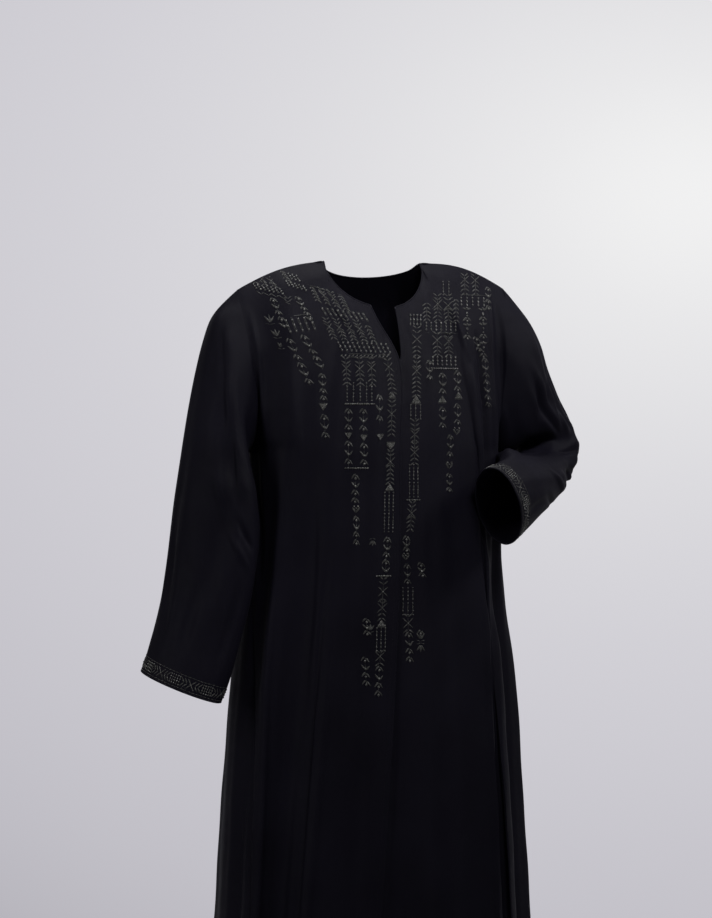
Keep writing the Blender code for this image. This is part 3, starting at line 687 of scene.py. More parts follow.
def crease_lift(across, height, creases):
    """The lift of creases given in millimetres, at places given in metres."""
    lift = np.zeros_like(across)
    for _, a1, h1, a2, h2, a3, h3, half_width, depth, crisp in creases:
        ends = np.array((h1, h2, h3)) / 1000
        share = np.clip((height - ends[0]) / (ends[2] - ends[0]), 0, 1)
        middle = (ends[1] - ends[0]) / (ends[2] - ends[0])
        line = np.interp(share, (0, middle, 1), np.array((a1, a2, a3)) / 1000)
        bend = share * (1 - share)
        sway = CREASE_SWAY * bend * np.sin(9 * share + a1)
        aside = across - line - sway
        reach = np.where(aside > 0, half_width * crisp, half_width) / 1000
        inside = (height <= ends[0]) & (height >= ends[2])
        fade = np.where(inside, (4 * bend) ** 0.7, 0.0)
        lift += CREASE_GAIN * depth / 1000 * bump(aside / reach) * fade
    return lift


def seam_lift(grid, edges):
    """How far seams draw the cloth in; edges name the sides of the grid that are sewn."""
    lift = np.zeros(grid.shape[:2])
    down = np.linalg.norm(np.diff(grid, axis=0), axis=2)
    along = np.linalg.norm(np.diff(grid, axis=1), axis=2)
    zero_row = np.zeros((1, grid.shape[1]))
    zero_column = np.zeros((grid.shape[0], 1))
    away = {"top": np.concatenate((zero_row, np.cumsum(down, axis=0))),
            "first": np.concatenate((zero_column, np.cumsum(along, axis=1)), axis=1),
            "last": np.concatenate((zero_column, np.cumsum(along[:, ::-1], axis=1)),
                                   axis=1)[:, ::-1]}
    for edge in edges:
        lift -= SEAM_DEPTH * np.exp(-(away[edge] / SEAM_REACH) ** 2)
    return lift


def ripple(grid, seed):
    """Slow uneven waves over the cloth, so that no stretch of it is quite smooth."""
    x, y, z = grid[..., 0], grid[..., 1], grid[..., 2]
    round_body = np.arctan2(x, -y)
    below = soft_step((UNDERARM_Z - z) / 0.5)
    waves = np.zeros_like(z)
    for height, turns, falls, phase, above in RIPPLES:
        wave = height * np.sin(turns * round_body + falls * z + phase * seed)
        waves += wave * (above + (1 - above) * below)
    return waves


def panel_fade(grid):
    """0 along the edges of a panel and 1 inside, so that folds never open a seam."""
    rows, columns = grid.shape[:2]
    down = np.arange(rows) / FADE_ROWS
    along = np.minimum(np.arange(columns), columns - 1 - np.arange(columns)) / FADE_COLUMNS
    return soft_step(down)[:, None] * soft_step(along)[None, :]


# ------------------------------------------------------------------ meshes
class Shape:
    """Points and faces gathered for one object."""

    def __init__(self):
        self.points = []
        self.faces = []
        self.count = 0

    def add(self, points, faces):
        self.points.append(np.asarray(points, float))
        self.faces += [[corner + self.count for corner in face] for face in faces]
        self.count += len(points)

    def build(self, name, material, sharp=None):
        mesh = bpy.data.meshes.new(name)
        mesh.from_pydata(np.concatenate(self.points).tolist(), [], self.faces)
        mesh.shade_smooth()
        if sharp is not None:
            mesh.set_sharp_from_angle(angle=math.radians(sharp))
        mesh.materials.append(material)
        item = bpy.data.objects.new(name, mesh)
        bpy.context.scene.collection.objects.link(item)
        return item


def cloth_wall(grid, normals, closed):
    """A closed wall of cloth, LOOK_WALL thick, inwards of its outer face."""
    rows, columns = grid.shape[:2]
    inner = grid - LOOK_WALL * normals
    points = np.concatenate((grid.reshape(-1, 3), inner.reshape(-1, 3)))
    below = rows * columns
    last = columns if closed else columns - 1
    r, c = np.meshgrid(np.arange(rows - 1), np.arange(last), indexing="ij")
    d = (c + 1) % columns
    quads = np.stack((r * columns + c, r * columns + d, (r + 1) * columns + d,
                      (r + 1) * columns + c), axis=-1).reshape(-1, 4)
    faces = quads.tolist() + (quads[:, ::-1] + below).tolist()
    top = list(range(columns))
    bottom = list(range((rows - 1) * columns, rows * columns))
    if closed:
        edges = [top + top[:1], (bottom + bottom[:1])[::-1]]
    else:
        edges = [top, bottom[::-1], [i * columns + columns - 1 for i in range(rows)],
                 [i * columns for i in reversed(range(rows))]]
    for edge in edges:
        faces += [[b, a, a + below, b + below] for a, b in zip(edge, edge[1:])]
    corners = points[quads[0]]
    facing = np.cross(corners[1] - corners[0], corners[2] - corners[0]) @ normals[0, 0]
    if facing < 0:
        faces = [face[::-1] for face in faces]
    shape = Shape()
    shape.add(points, faces)
    return shape


def tube(path, normals, half_high, half_wide, closed, sides=8):
    """A flattened tube along a path, its flat side along the cloth."""
    path = np.asarray(path)
    if closed:
        along = np.roll(path, -1, axis=0) - np.roll(path, 1, axis=0)
    else:
        along = np.gradient(path, axis=0)
    along /= np.linalg.norm(along, axis=1, keepdims=True)
    side = np.cross(along, normals)
    side /= np.linalg.norm(side, axis=1, keepdims=True)
    turn = np.linspace(0, 2 * math.pi, sides, endpoint=False)
    rings = (path[:, None] + half_wide * np.cos(turn)[None, :, None] * side[:, None]
             + half_high * np.sin(turn)[None, :, None] * normals[:, None])
    count = len(path)
    faces = []
    for i in range(count if closed else count - 1):
        j = (i + 1) % count
        for k in range(sides):
            m = (k + 1) % sides
            faces.append([i * sides + k, i * sides + m, j * sides + m, j * sides + k])
    if not closed:
        faces.append(list(range(sides))[::-1])
        faces.append([(count - 1) * sides + k for k in range(sides)])
    return rings.reshape(-1, 3), faces


# ------------------------------------------------------------------ stitches and beads
class Ground:
    """A panel of cloth, found from the layout's view at places given in millimetres."""

    def __init__(self, grid):
        rows, columns = grid.shape[:2]
        points = grid.reshape(-1, 3)
        r, c = np.meshgrid(np.arange(rows - 1), np.arange(columns - 1), indexing="ij")
        corner = (r * columns + c).reshape(-1)
        quads = np.stack((corner, corner + 1, corner + columns + 1, corner + columns), axis=1)
        self.tree = BVHTree.FromPolygons(points.tolist(), quads.tolist())

    def at(self, across, height):
        """The cloth's point and outward normal there, or None where there is no cloth."""
        start = ACROSS * across / 1000 + UP * height / 1000 - AHEAD
        point, normal, _, _ = self.tree.ray_cast(Vector(start), Vector(AHEAD), 1.6)
        if point is None:
            return None
        normal = np.array(normal)
        if normal @ AHEAD > 0:
            normal = -normal
        return np.array(point), normal


class CuffGround:
    """The cloth round a cuff: the place round it and up from its edge, in millimetres."""

    def __init__(self, grid, normals):
        self.grid = grid[::-1]
        self.normals = normals[::-1]
        steps = np.linalg.norm(np.roll(self.grid[0], -1, axis=0) - self.grid[0], axis=1)
        self.round = np.concatenate(([0.0], np.cumsum(steps))) * 1000
        rises = np.linalg.norm(np.diff(self.grid, axis=0), axis=2).mean(axis=1)
        self.rise = np.concatenate(([0.0], np.cumsum(rises))) * 1000

    def at(self, around, rise):
        around = around % self.round[-1]
        column = int(np.searchsorted(self.round, around, side="right")) - 1
        column = min(column, self.grid.shape[1] - 1)
        row = min(max(int(np.searchsorted(self.rise, rise)) - 1, 0), len(self.rise) - 2)
        s = (around - self.round[column]) / (self.round[column + 1] - self.round[column])
        t = (rise - self.rise[row]) / (self.rise[row + 1] - self.rise[row])
        following = (column + 1) % self.grid.shape[1]

        def blend(a):
            low = a[row, column] * (1 - s) + a[row, following] * s
            high = a[row + 1, column] * (1 - s) + a[row + 1, following] * s
            return low * (1 - t) + high * t

        normal = blend(self.normals)
        return blend(self.grid), normal / np.linalg.norm(normal)


class Needlework:
    """Satin stitches and beads on one piece of cloth."""

    # Where a stitch has its rings, as shares of its length.
    RINGS = (0.14, 0.36, 0.62, 0.86)
    # The sides of a stitch lie a hair under the cloth's face, and its two points a hair above.
    SUNK = 0.0002
    RAISED = 0.0001
    # Its shoulders, as shares of its half width and height, and how blunt its points are.
    SHOULDER_WIDE = 0.6
    SHOULDER_HIGH = 0.75
    BLUNT = 0.6
    # A stitch that is longer on the cloth than this would span a drop between two folds.
    SLACK = 6           # millimetres
    STRETCH = 1.8       # times its length in the layout
    # A bead's rings, as shares of its radius: height above the cloth and half width.
    BEAD_RINGS = ((-0.1, 0.92), (0.45, 1.0), (0.95, 0.7))
    BEAD_TOP = 1.25
    BEAD_SIDES = 8

    def __init__(self, ground):
        self.ground = ground
        self.thread = Shape()
        self.beads = Shape()

    def stitch(self, a, b, width, height=0.55, waist=1.0):
        """A raised satin stitch from a to b, pointed at both ends; waist moves its middle."""
        ends = [self.ground.at(*a), self.ground.at(*b),
                self.ground.at((a[0] + b[0]) / 2, (a[1] + b[1]) / 2)]
        if any(end is None for end in ends):
            return
        (p0, n0), (p1, n1), (pm, nm) = ends
        if np.linalg.norm(p1 - p0) > 0.001 * (self.SLACK + self.STRETCH * math.dist(a, b)):
            return
        normal = n0 + n1 + nm
        normal /= np.linalg.norm(normal)
        side = np.cross(p1 - p0, normal)
        side /= np.linalg.norm(side)
        points = [p0 + normal * self.RAISED]
        for share in self.RINGS:
            middle = (p0 * (1 - share) * (1 - 2 * share) + pm * 4 * share * (1 - share)
                      + p1 * share * (2 * share - 1))
            full = math.sin(math.pi * share**waist) ** self.BLUNT
            half = side * width / 2000 * full
            top = normal * height / 1000 * full
            inner, lower = half * self.SHOULDER_WIDE, top * self.SHOULDER_HIGH
            points += [middle - half - normal * self.SUNK, middle - inner + lower,
                       middle + top, middle + inner + lower,
                       middle + half - normal * self.SUNK]
        points.append(p1 + normal * self.RAISED)
        last = len(points) - 1
        faces = [[0, 1 + k, 2 + k] for k in range(4)]
        for ring in range(len(self.RINGS) - 1):
            low = 1 + 5 * ring
            faces += [[low + k, low + 5 + k, low + 6 + k, low + 1 + k] for k in range(4)]
        faces += [[last, last - 4 + k, last - 5 + k] for k in range(4)]
        self.thread.add(points, faces)

    def bead(self, place, radius, long=1.0, turn=0.0):
        """A round bead, or one long times as long as it is wide, turned in the cloth's plane."""
        found = self.ground.at(*place)
        if found is None:
            return
        point, normal = found
        level = np.cross(normal, UP)
        level /= np.linalg.norm(level)
        rise = np.cross(level, normal)
        one = level * math.cos(turn) + rise * math.sin(turn)
        two = np.cross(normal, one)
        size = radius / 1000
        sides = self.BEAD_SIDES
        points = []
        for high, wide in self.BEAD_RINGS:
            for k in range(sides):
                angle = 2 * math.pi * k / sides
                out = one * long * math.cos(angle) + two * math.sin(angle)
                points.append(point + normal * size * high + size * wide * out)
        crown = len(points)
        points.append(point + normal * size * self.BEAD_TOP)
        faces = []
        for low in range(0, crown - sides, sides):
            for k in range(sides):
                m = (k + 1) % sides
                faces.append([low + k, low + m, low + sides + m, low + sides + k])
        faces += [[crown - sides + k, crown - sides + (k + 1) % sides, crown] for k in range(sides)]
        self.beads.add(points, faces)


class Strip:
    """A patch of the layout: u runs to the right and v down, leaning and tilting as it hangs."""

    # Kinds of stitch: width and height in millimetres, and where the stitch is fullest.
    STEM = (0.9, 0.3)
    THREAD = (1.0, 0.4)
    BAR = (1.0, 0.35)
    TWIN = (1.1, 0.5)
    ARCH = (1.5, 0.5)
    FOOT = (1.3, 0.5)
    CURL = (1.2, 0.4)
    LEVEL = (1.4, 0.4)
    CROSS = (1.7, 0.65)
    ARM = (2.3, 0.7, 0.8)
    LEAF = (2.9, 0.8, 0.62)
    PETAL = (3.2, 0.8, 0.62)
    LOBE = (3.4, 0.9, 1.4)

    def __init__(self, work, across, height, lean=0.0, tilt=0.0):
        self.work = work
        self.origin = (across, height)
        self.lean = math.radians(lean)
        self.tilt = math.radians(tilt)

    def place(self, u, v):
        return (self.origin[0] + u * math.cos(self.tilt) + v * math.sin(self.lean),
                self.origin[1] - u * math.sin(self.tilt) - v * math.cos(self.lean))

    def stitch(self, u1, v1, u2, v2, width, height=0.55, waist=1.0):
        self.work.stitch(self.place(u1, v1), self.place(u2, v2), width, height, waist)

    def bead(self, u, v, radius, long=1.0, turn=0.0):
        self.work.bead(self.place(u, v), radius, long, turn)

    def braid(self, u, v1, v2, crosses=(), arm=6.6, step=6.4, rise=4.6):
        """A herringbone column; above each cross its arms point up, and below it down."""
        self.stitch(u, v1, u, v2, *self.STEM)
        count = max(1, round((v2 - v1) / step))
        for i in range(count + 1):
            v = v1 + (v2 - v1) * i / count
            nearest = min(crosses, key=lambda at: abs(at - v)) if crosses else v1 - step
            if crosses and abs(nearest - v) < step * 0.55:
                continue
            way = 1 if v > nearest else -1
            size = arm * (0.92 + 0.12 * math.sin(5 * v + u))
            for side in (-1, 1):
                self.stitch(u + side * 0.6, v, u + side * size, v + way * rise, *self.ARM)
        reach = arm * 1.05
        for at in crosses:
            for side in (-1, 1):
                for way in (-1, 1):
                    self.stitch(u, at, u + side * reach, at + way * reach, *self.CROSS)
            self.bead(u, at, 1.0)

    def ladder(self, u1, u2, v1, v2, bars, beads=3, twin=False):
        """Short upright bars side by side, each a thread with beads or a pair of threads."""
        for i in range(bars):
            u = u1 + (u2 - u1) * i / max(1, bars - 1)
            if twin:
                for side in (-0.9, 0.9):
                    self.stitch(u + side, v1, u + side, v2, *self.TWIN)
            else:
                self.stitch(u, v1, u, v2, *self.BAR)
            for k in range(beads):
                v = v1 + (v2 - v1) * (k + 0.5) / beads
                self.bead(u, v, 1.15, 1.5, self.lean + math.pi / 2)

    def lines(self, u, v1, v2, places):
        """Long upright threads with a bead at each end and small ones between."""
        for across in places:
            x = u + across
            self.stitch(x, v1, x, (v1 + v2) / 2, *self.THREAD)
            self.stitch(x, (v1 + v2) / 2, x, v2, *self.THREAD)
            count = max(2, round((v2 - v1) / 5.2))
            for k in range(count + 1):
                self.bead(x, v1 + (v2 - v1) * k / count, 0.95)

    def vine(self, u, v1, v2, step=11.5, leaf=8.0, spread=5.8):
        """A stem whose pairs of leaves droop and rise by turns, round a bead in each fork."""
        count = max(1, round((v2 - v1) / step))
        for i in range(count):
            v = v1 + (v2 - v1) * i / count
            low = v + (v2 - v1) / count
            self.stitch(u, v, u, low, *self.STEM)
            base, tip = (v + 1.0, v + leaf) if i % 3 != 1 else (v + leaf, v + 1.0)
            for side in (-1, 1):
                drop = 1.6 if side > 0 else 0.0
                self.stitch(u + side * 0.9, base + drop, u + side * spread, tip + drop, *self.LEAF)
            self.bead(u, v + leaf * 0.7 + 2.0, 1.5, 1.2, math.pi / 2)

    def fan(self, u, v, size, up=True, petals=3):
        """Petals that spread from one point, over a small arc of thread."""
        way = -1 if up else 1
        for k in range(petals):
            angle = math.radians(36 * (k - (petals - 1) / 2))
            self.stitch(u, v, u + size * math.sin(angle), v + way * size * math.cos(angle),
                        *self.PETAL)
        self.stitch(u - size * 0.6, v - way * 1.5, u, v - way * 3.2, *self.CURL)
        self.stitch(u, v - way * 3.2, u + size * 0.6, v - way * 1.5, *self.CURL)

    def triangle(self, u, v, width, up=True):
        """A triangle filled with rows of beads."""
        rows = max(3, round(width / 2.3))
        fall = 1.75 if up else -1.75
        for row in range(rows):
            for k in range(row + 1):
                self.bead(u + (k - row / 2) * 2.2, v + row * fall, 1.15)
        foot = rows * fall
        self.stitch(u - width * 0.62, v + foot, u + width * 0.62, v + foot, *self.FOOT)

    def heart(self, u, v, size):
        """Two leaves that meet in a point, with beads in the lobes."""
        for side in (-1, 1):
            self.stitch(u, v + size * 0.75, u + side * size * 0.62, v - size * 0.25, *self.LOBE)
            self.bead(u + side * size * 0.34, v - size * 0.38, 1.35)
        self.bead(u, v - 0.4, 1.1)

    def bar(self, u, v, length):
        """A level row of long beads on a thread."""
        self.stitch(u, v, u + length, v, *self.LEVEL)
        count = max(2, round(length / 3.4))
        for k in range(count + 1):
            self.bead(u + length * k / count, v, 1.2, 1.25)

    def scallops(self, u1, u2, v, count):
        """A border of small arches."""
        width = (u2 - u1) / count
        for k in range(count):
            left = u1 + k * width
            self.stitch(left, v, left + width / 2, v + width * 0.42, *self.ARCH)
            self.stitch(left + width / 2, v + width * 0.42, left + width, v, *self.ARCH)


# ------------------------------------------------------------------ where the embroidery lies
# The motifs that hang singly on each front, by kind. A braid's crosses and the threads of lines
# are placed from where the motif starts, and what a row leaves out is as in Strip.
RIGHT_MOTIFS = {
    Strip.vine: (
        # across, height, lean, length, step, leaf, spread
        (-144, -47, 23, 50, 9.5, 7, 5.4),
        (-109, -45, 30, 42, 8.4, 6.4, 5),
        (-120, -106, 25, 76, 12.6, 8.5, 6.4),
        (-100, -101, 30, 58, 11.6, 8, 6),
        (-72, -156, 4, 42, 10.5, 7.5, 5.6),
        (-69, -214, 4, 38, 12.6, 9, 6.2),
        (-34, -206, 0, 34, 11.2),
        (-34, -252, 0, 38, 12),
        (-13, -206, 0, 36, 11.8),
        (-12, -255, 0, 35, 11.6),
        (-24, -299, -1, 44, 11),
        (-23, -358, 0, 44, 11, 8, 4.6),
        (10, -186, 0, 44, 14.6, 9, 5),
        (21.5, -388, -4, 52, 10.5, 8, 5.6),
        (9.5, -569, -2, 46, 11),
        (-9, -502, 4, 26, 9, 6.5, 6),
        (-11, -556, 3, 44, 11, 7.5, 6),
    ),
    Strip.braid: (
        # across, height, lean, length, crosses, arm
        (-38, -137, 3, 33, (13,), 6.4),
        (-19, -137, 3, 34, (14,), 6.4),
        (-2, -137, 3, 35, (12,), 6.4),
        (20.5, -132, 9, 52, (16,), 6.4),
        (27.5, -199, -1, 44, (16,), 6.4),
        (25.5, -263, -1, 48, (20,), 6.4),
        (15.5, -449, -3, 54, (17, 40)),
        (10.5, -552, -2, 14, (5,)),
    ),
    Strip.triangle: (
        # across, height, lean, width, whether it points up
        (-70, -209, 0, 12, False),
        (-34, -249, 0, 10, False),
        (-12.5, -252, 0, 10, False),
        (11, -251, 0, 9, False),
        (28, -186, 0, 10),
        (25.5, -264, 0, 12, False),
        (24, -315, 0, 11),
        (12.5, -507, 0, 11),
    ),
    Strip.lines: (
        # across, height, lean, length, threads
        (-36, -171, 0, 25, (0, 9, 18.5, 27.5, 35)),
        (17.5, -326, -1, 56, (0, 6, 12)),
        (6, -517, -1, 32, (0, 6, 12)),
    ),
    Strip.bar: (
        # across, height, lean, length
        (-38, -201, 0, 40),
        (-38, -292, 0, 31),
        (6, -444, 0, 19),
    ),
    Strip.heart: (
        # across, height, lean, size
        (-23.5, -349, 0, 8),
    ),
    Strip.fan: (
        # across, height, lean, size, whether it points up, petals
        (-146, -84, 10, 12),
        (-136, -104, 18, 11),
        (-130, -120, 24, 8, True, 2),
        (-3, -520, 0, 9),
        (0, -394, 0, 8, False),
    ),
}


def sew(work, motifs):
    for motif, rows in motifs.items():
        for across, height, lean, *sizes in rows:
            motif(Strip(work, across, height, lean), 0, 0, *sizes)


def embroider_right(work):
    """The wearer's right front: shoulder, inner block beside the opening, and the columns."""
    shoulder = Strip(work, -178, -10, lean=33, tilt=12)
    for u in (0, 14, 28):
        shoulder.braid(u, 2, 17, crosses=(9,), step=5.4, arm=5.4, rise=3.6)
    shoulder.ladder(-5, 34, 20, 32, 7)
    shoulder.scallops(-8, 36, 35, 4)
    collar = Strip(work, -132, -6, lean=33, tilt=16)
    collar.braid(0, 2, 18, step=5.2, arm=5.4)
    collar.ladder(9, 21, 2, 16, 3)
    collar.ladder(-4, 21, 21, 32, 5)
    arches = Strip(work, -128, -48, tilt=6)
    arches.scallops(0, 14, 0, 1)
    arches.scallops(1, 13, -4, 1)
    arches.stitch(2, 6, 12, 9, 1.2)
    bars = Strip(work, -128, -78, lean=22, tilt=-8)
    bars.ladder(3, 38, 0, 26, 5, beads=3, twin=True)
    bars.stitch(1, -1, 40, -1, 1.2)

    block = Strip(work, -88, -30, lean=24, tilt=17)
    for u in (0, 14.5, 29, 43):
        block.braid(u, 2, 22, crosses=(11,) if u in (14.5, 29) else (), step=5.2, arm=5.6)
    block.stitch(-7, 0, 50, 0, 1.2)
    row = Strip(work, -74, -60, lean=32, tilt=8)
    row.ladder(0, 60, 0, 17, 9, beads=2, twin=True)
    crosses = Strip(work, -66, -80, lean=22, tilt=4)
    for u in (0, 14.5, 29, 43.5):
        crosses.braid(u, 0, 27, crosses=(11,), step=5.2, arm=5.6)
    crosses.braid(57, 4, 27, step=5.2, arm=5.0)
    low = Strip(work, -50, -110, lean=26, tilt=2)
    low.ladder(0, 68, 0, 19, 11, beads=3)
    border = Strip(work, -44, -129, tilt=1)
    border.stitch(-4, 0, 68, 0, 1.2)
    border.stitch(-2, 4.6, 68, 4.6, 1.2)
    for k in range(13):
        border.stitch(-2 + 5.4 * k, 4.4, 2 + 5.4 * k, 0.4, 1.4)
        border.bead(0.4 + 5.4 * k, 2.6, 0.9)
    sew(work, RIGHT_MOTIFS)


LEFT_MOTIFS = {
    Strip.vine: (
        # across, height, lean, length, step, leaf, spread
        (164, -130, 4, 76, 10.5, 7.5, 5.2),
        (171, -24, 0, 38, 9, 6.5, 4.6),
        (150, -100, 16, 24, 8, 6, 5),
        (101, -154, 0, 34, 11.4, 8, 5.6),
        (100.5, -203, 0, 34, 11, 7.6, 5.4),
        (123, -150, 0, 34, 11.4, 8, 5.6),
        (122.5, -198, 0, 34, 11, 7.6, 5.4),
        (112, -243, -2, 36, 11.4, 7, 5),
        (82, -136, 0, 32, 10, 6.5, 5),
        (110, -298, 0, 30, 10, 6.5, 4.8),
        (48, -386, 0, 24, 9, 7.5, 5.6),
        (68, -424, 8, 22, 7.5, 6.5, 5.4),
        (49, -426, 1, 32, 10.6, 7, 5.2),
        (51, -522, 2, 46, 11),
        (68, -520, 0, 10, 8, 6, 5),
    ),
    Strip.braid: (
        # across, height, lean, length, crosses, arm
        (64.5, -91, -1, 96, (16, 62), 6.8),
        (60.5, -226, -1, 58, (18, 44)),
        (56.5, -342, -5, 36, (14,), 6.4),
        (50, -502, 1, 18, (9,), 7),
    ),
    Strip.triangle: (
        # across, height, lean, width, whether it points up
        (100, -190, 0, 11),
        (124, -184, 0, 12),
        (62, -190, 0, 13),
    ),
    Strip.lines: (
        # across, height, lean, length, threads
        (54.5, -202, 0, 20, (0, 7, 14)),
        (52.5, -287, 0, 46, (0, 6, 12)),
        (43, -461, 0, 38, (0, 7, 14)),
    ),
    Strip.bar: (
        # across, height, lean, length
        (49, -337, 0, 18),
    ),
    Strip.heart: (
        # across, height, lean, size
        (121, -238, 0, 8.5),
        (110, -287, 0, 8),
        (47, -416, 0, 8),
    ),
    Strip.fan: (
        # across, height, lean, size, whether it points up, petals
        (68, -533.6, 0, 10),
        (68, -542.4, 0, 10, False),
    ),
}


def embroider_left(work):
    """The wearer's left front: the far block by the shoulder, the inner block and columns."""
    far = Strip(work, 136, -9)
    for u in (0, 16):
        far.braid(u, 1, 27, crosses=(7,), step=6, arm=6.4)
    far.stitch(-9, 30, 34, 30, 1.1)
    far.ladder(-6, 28, 32, 48, 5)
    for u, heights in ((2, (52, 64, 76, 90)), (26, (52, 62, 74, 88, 102, 116))):
        for k, v in enumerate(heights):
            for side in (-1, 1):
                far.stitch(u + side * 0.6, v, u + side * 6.2, v + 5.4 * (1 if k % 2 else -0.4),
                           3.4, 0.8, 0.7)
            far.bead(u, v + 5.5, 1.5, 1.2, math.pi / 2)
            far.bead(u, v - 2.5, 1.2)

    inner = Strip(work, 79, -20)
    inner.lines(25, 0, 20, (0, 8))
    inner.braid(0, 33, 56, step=6.2, arm=6.4)
    inner.braid(16, 22, 57, crosses=(34,), step=6.2, arm=7)
    inner.braid(31.5, 22, 57, crosses=(36,), step=6.2, arm=7)
    inner.braid(43, 26, 57, step=6.2, arm=4.6)
    inner.ladder(-1, 42, 60, 75, 7)
    inner.stitch(-4, 77, 45, 77, 1.1)
    inner.braid(14.5, 79, 108, crosses=(88,), step=6, arm=7)
    inner.braid(31.5, 79, 108, crosses=(89,), step=6, arm=7)
    inner.ladder(8, 41, 110, 126, 6)
    inner.bar(6, 129, 38)

    Strip(work, 55, -68).ladder(0, 15, 0, 20, 4)
    sew(work, LEFT_MOTIFS)


CUFF_BAND = 20.0        # height of the embroidered band along each cuff, in millimetres
CUFF_START = 3.0


def embroider_cuff(work, length):
    """A band round the cuff: stars between chevrons take turns with groups of bars."""
    units = max(4, round(length / 47))
    unit = length / units
    middle = CUFF_START + CUFF_BAND / 2
    steps = max(24, round(length / 6))
    for k in range(steps):
        a, b = length * k / steps, length * (k + 1) / steps
        for rise in (CUFF_START, CUFF_START + CUFF_BAND):
            work.stitch((a, rise), (b, rise), 1.3, 0.5)
    for k in range(units):
        start = unit * k
        centre = start + unit * 0.30
        for side in (-1, 1):
            for way in (-1, 1):
                work.stitch((centre, middle), (centre + side * 6.2, middle + way * 7.6), 2.0, 0.7)
            for step in (6.0, 10.6):
                for way in (-1, 1):
                    work.stitch((centre + side * step, middle),
                                (centre + side * (step + 5.0), middle + way * 7.2), 2.2, 0.7, 0.8)
        work.bead((centre, middle), 1.3)
        for step in range(5):
            around = start + unit * (0.66 + 0.07 * step)
            work.stitch((around, CUFF_START + 2), (around, CUFF_START + CUFF_BAND - 2), 1.1, 0.45)
            for rise in (0.2, 0.4, 0.6, 0.8):
                work.bead((around, CUFF_START + CUFF_BAND * rise), 1.05)


# ------------------------------------------------------------------ materials
def principled(name, colour, roughness, specular):
    material = bpy.data.materials.new(name)
    material.use_nodes = True
    shader = material.node_tree.nodes["Principled BSDF"]
    shader.inputs["Base Color"].default_value = (*colour, 1.0)
    shader.inputs["Roughness"].default_value = roughness
    shader.inputs["Specular IOR Level"].default_value = specular
    return material, shader


def link(material, a, b):
    material.node_tree.links.new(a, b)


def noise(material, scale, detail=2.0, stretch=(1.0, 1.0, 1.0)):
    nodes = material.node_tree.nodes
    place = nodes.new("ShaderNodeTexCoord")
    mapping = nodes.new("ShaderNodeMapping")
    mapping.inputs["Scale"].default_value = stretch
    texture = nodes.new("ShaderNodeTexNoise")
    texture.inputs["Scale"].default_value = scale
    texture.inputs["Detail"].default_value = detail
    link(material, place.outputs["Object"], mapping.inputs["Vector"])
    link(material, mapping.outputs["Vector"], texture.inputs["Vector"])
    return texture.outputs["Fac"]


def weave(material, scale, direction):
    nodes = material.node_tree.nodes
    place = nodes.new("ShaderNodeTexCoord")
    wave = nodes.new("ShaderNodeTexWave")
    wave.bands_direction = direction
    wave.inputs["Scale"].default_value = scale
    wave.inputs["Distortion"].default_value = 1.6
    wave.inputs["Detail"].default_value = 1.0
    link(material, place.outputs["Object"], wave.inputs["Vector"])
    return wave.outputs["Fac"]


def mixed(material, a, b, kind="ADD"):
    node = material.node_tree.nodes.new("ShaderNodeMath")
    node.operation = kind
    for i, value in enumerate((a, b)):
        if isinstance(value, float):
            node.inputs[i].default_value = value
        else:
            link(material, value, node.inputs[i])
    return node.outputs[0]


def coloured(material, shader, factor, dark, light, low=0.0, high=1.0):
    """The base colour runs from dark to light as the factor goes from low to high."""
    node = material.node_tree.nodes.new("ShaderNodeValToRGB")
    node.color_ramp.elements[0].color = (*dark, 1.0)
    node.color_ramp.elements[1].color = (*light, 1.0)
    node.color_ramp.elements[0].position = low
    node.color_ramp.elements[1].position = high
    link(material, factor, node.inputs["Fac"])
    link(material, node.outputs["Color"], shader.inputs["Base Color"])


def roughened(material, shader, factor, low, high):
    """The roughness runs from low to high with the factor."""
    node = material.node_tree.nodes.new("ShaderNodeMapRange")
    node.inputs["To Min"].default_value = low
    node.inputs["To Max"].default_value = high
    link(material, factor, node.inputs["Value"])
    link(material, node.outputs["Result"], shader.inputs["Roughness"])


def bumped(material, shader, height, strength, distance):
    node = material.node_tree.nodes.new("ShaderNodeBump")
    node.inputs["Strength"].default_value = strength
    node.inputs["Distance"].default_value = distance
    link(material, height, node.inputs["Height"])
    link(material, node.outputs["Normal"], shader.inputs["Normal"])


def crepe_cloth():
    """Matt black crepe with a faint blue cast: pebbled threads, and a soft bloom of sheen."""
    material, shader = principled("black_crepe", (0.0022, 0.0020, 0.0038), 0.55, 0.03)
    shader.inputs["Sheen Weight"].default_value = 0.003
    shader.inputs["Sheen Roughness"].default_value = 0.42
    shader.inputs["Sheen Tint"].default_value = (0.72, 0.70, 0.86, 1.0)
    coloured(material, shader, noise(material, 7.0, 3.0),
             (0.0017, 0.0015, 0.0030), (0.0026, 0.0023, 0.0045), 0.3, 0.7)
    roughened(material, shader, noise(material, 60.0, 3.0), 0.52, 0.68)
    pebbles = noise(material, 900.0, 2.0, (1.0, 1.0, 0.7))
    threads = mixed(material, weave(material, 420.0, "X"), weave(material, 380.0, "Z"), "MULTIPLY")
    surface = mixed(material, pebbles, mixed(material, threads, 0.6, "MULTIPLY"))
    bumped(material, shader, surface, 0.35, 0.0004)
    return material


def thread_satin():
    """Grey-green silky thread, ribbed along the stitches."""
    material, shader = principled("grey_thread", (0.02, 0.02, 0.018), 0.42, 0.2)
    coloured(material, shader, noise(material, 240.0, 2.0),
             (0.005, 0.005, 0.0046), (0.019, 0.019, 0.017), 0.32, 0.72)
    ribs = mixed(material, weave(material, 700.0, "DIAGONAL"), noise(material, 1500.0))
    bumped(material, shader, ribs, 0.5, 0.0003)
    return material


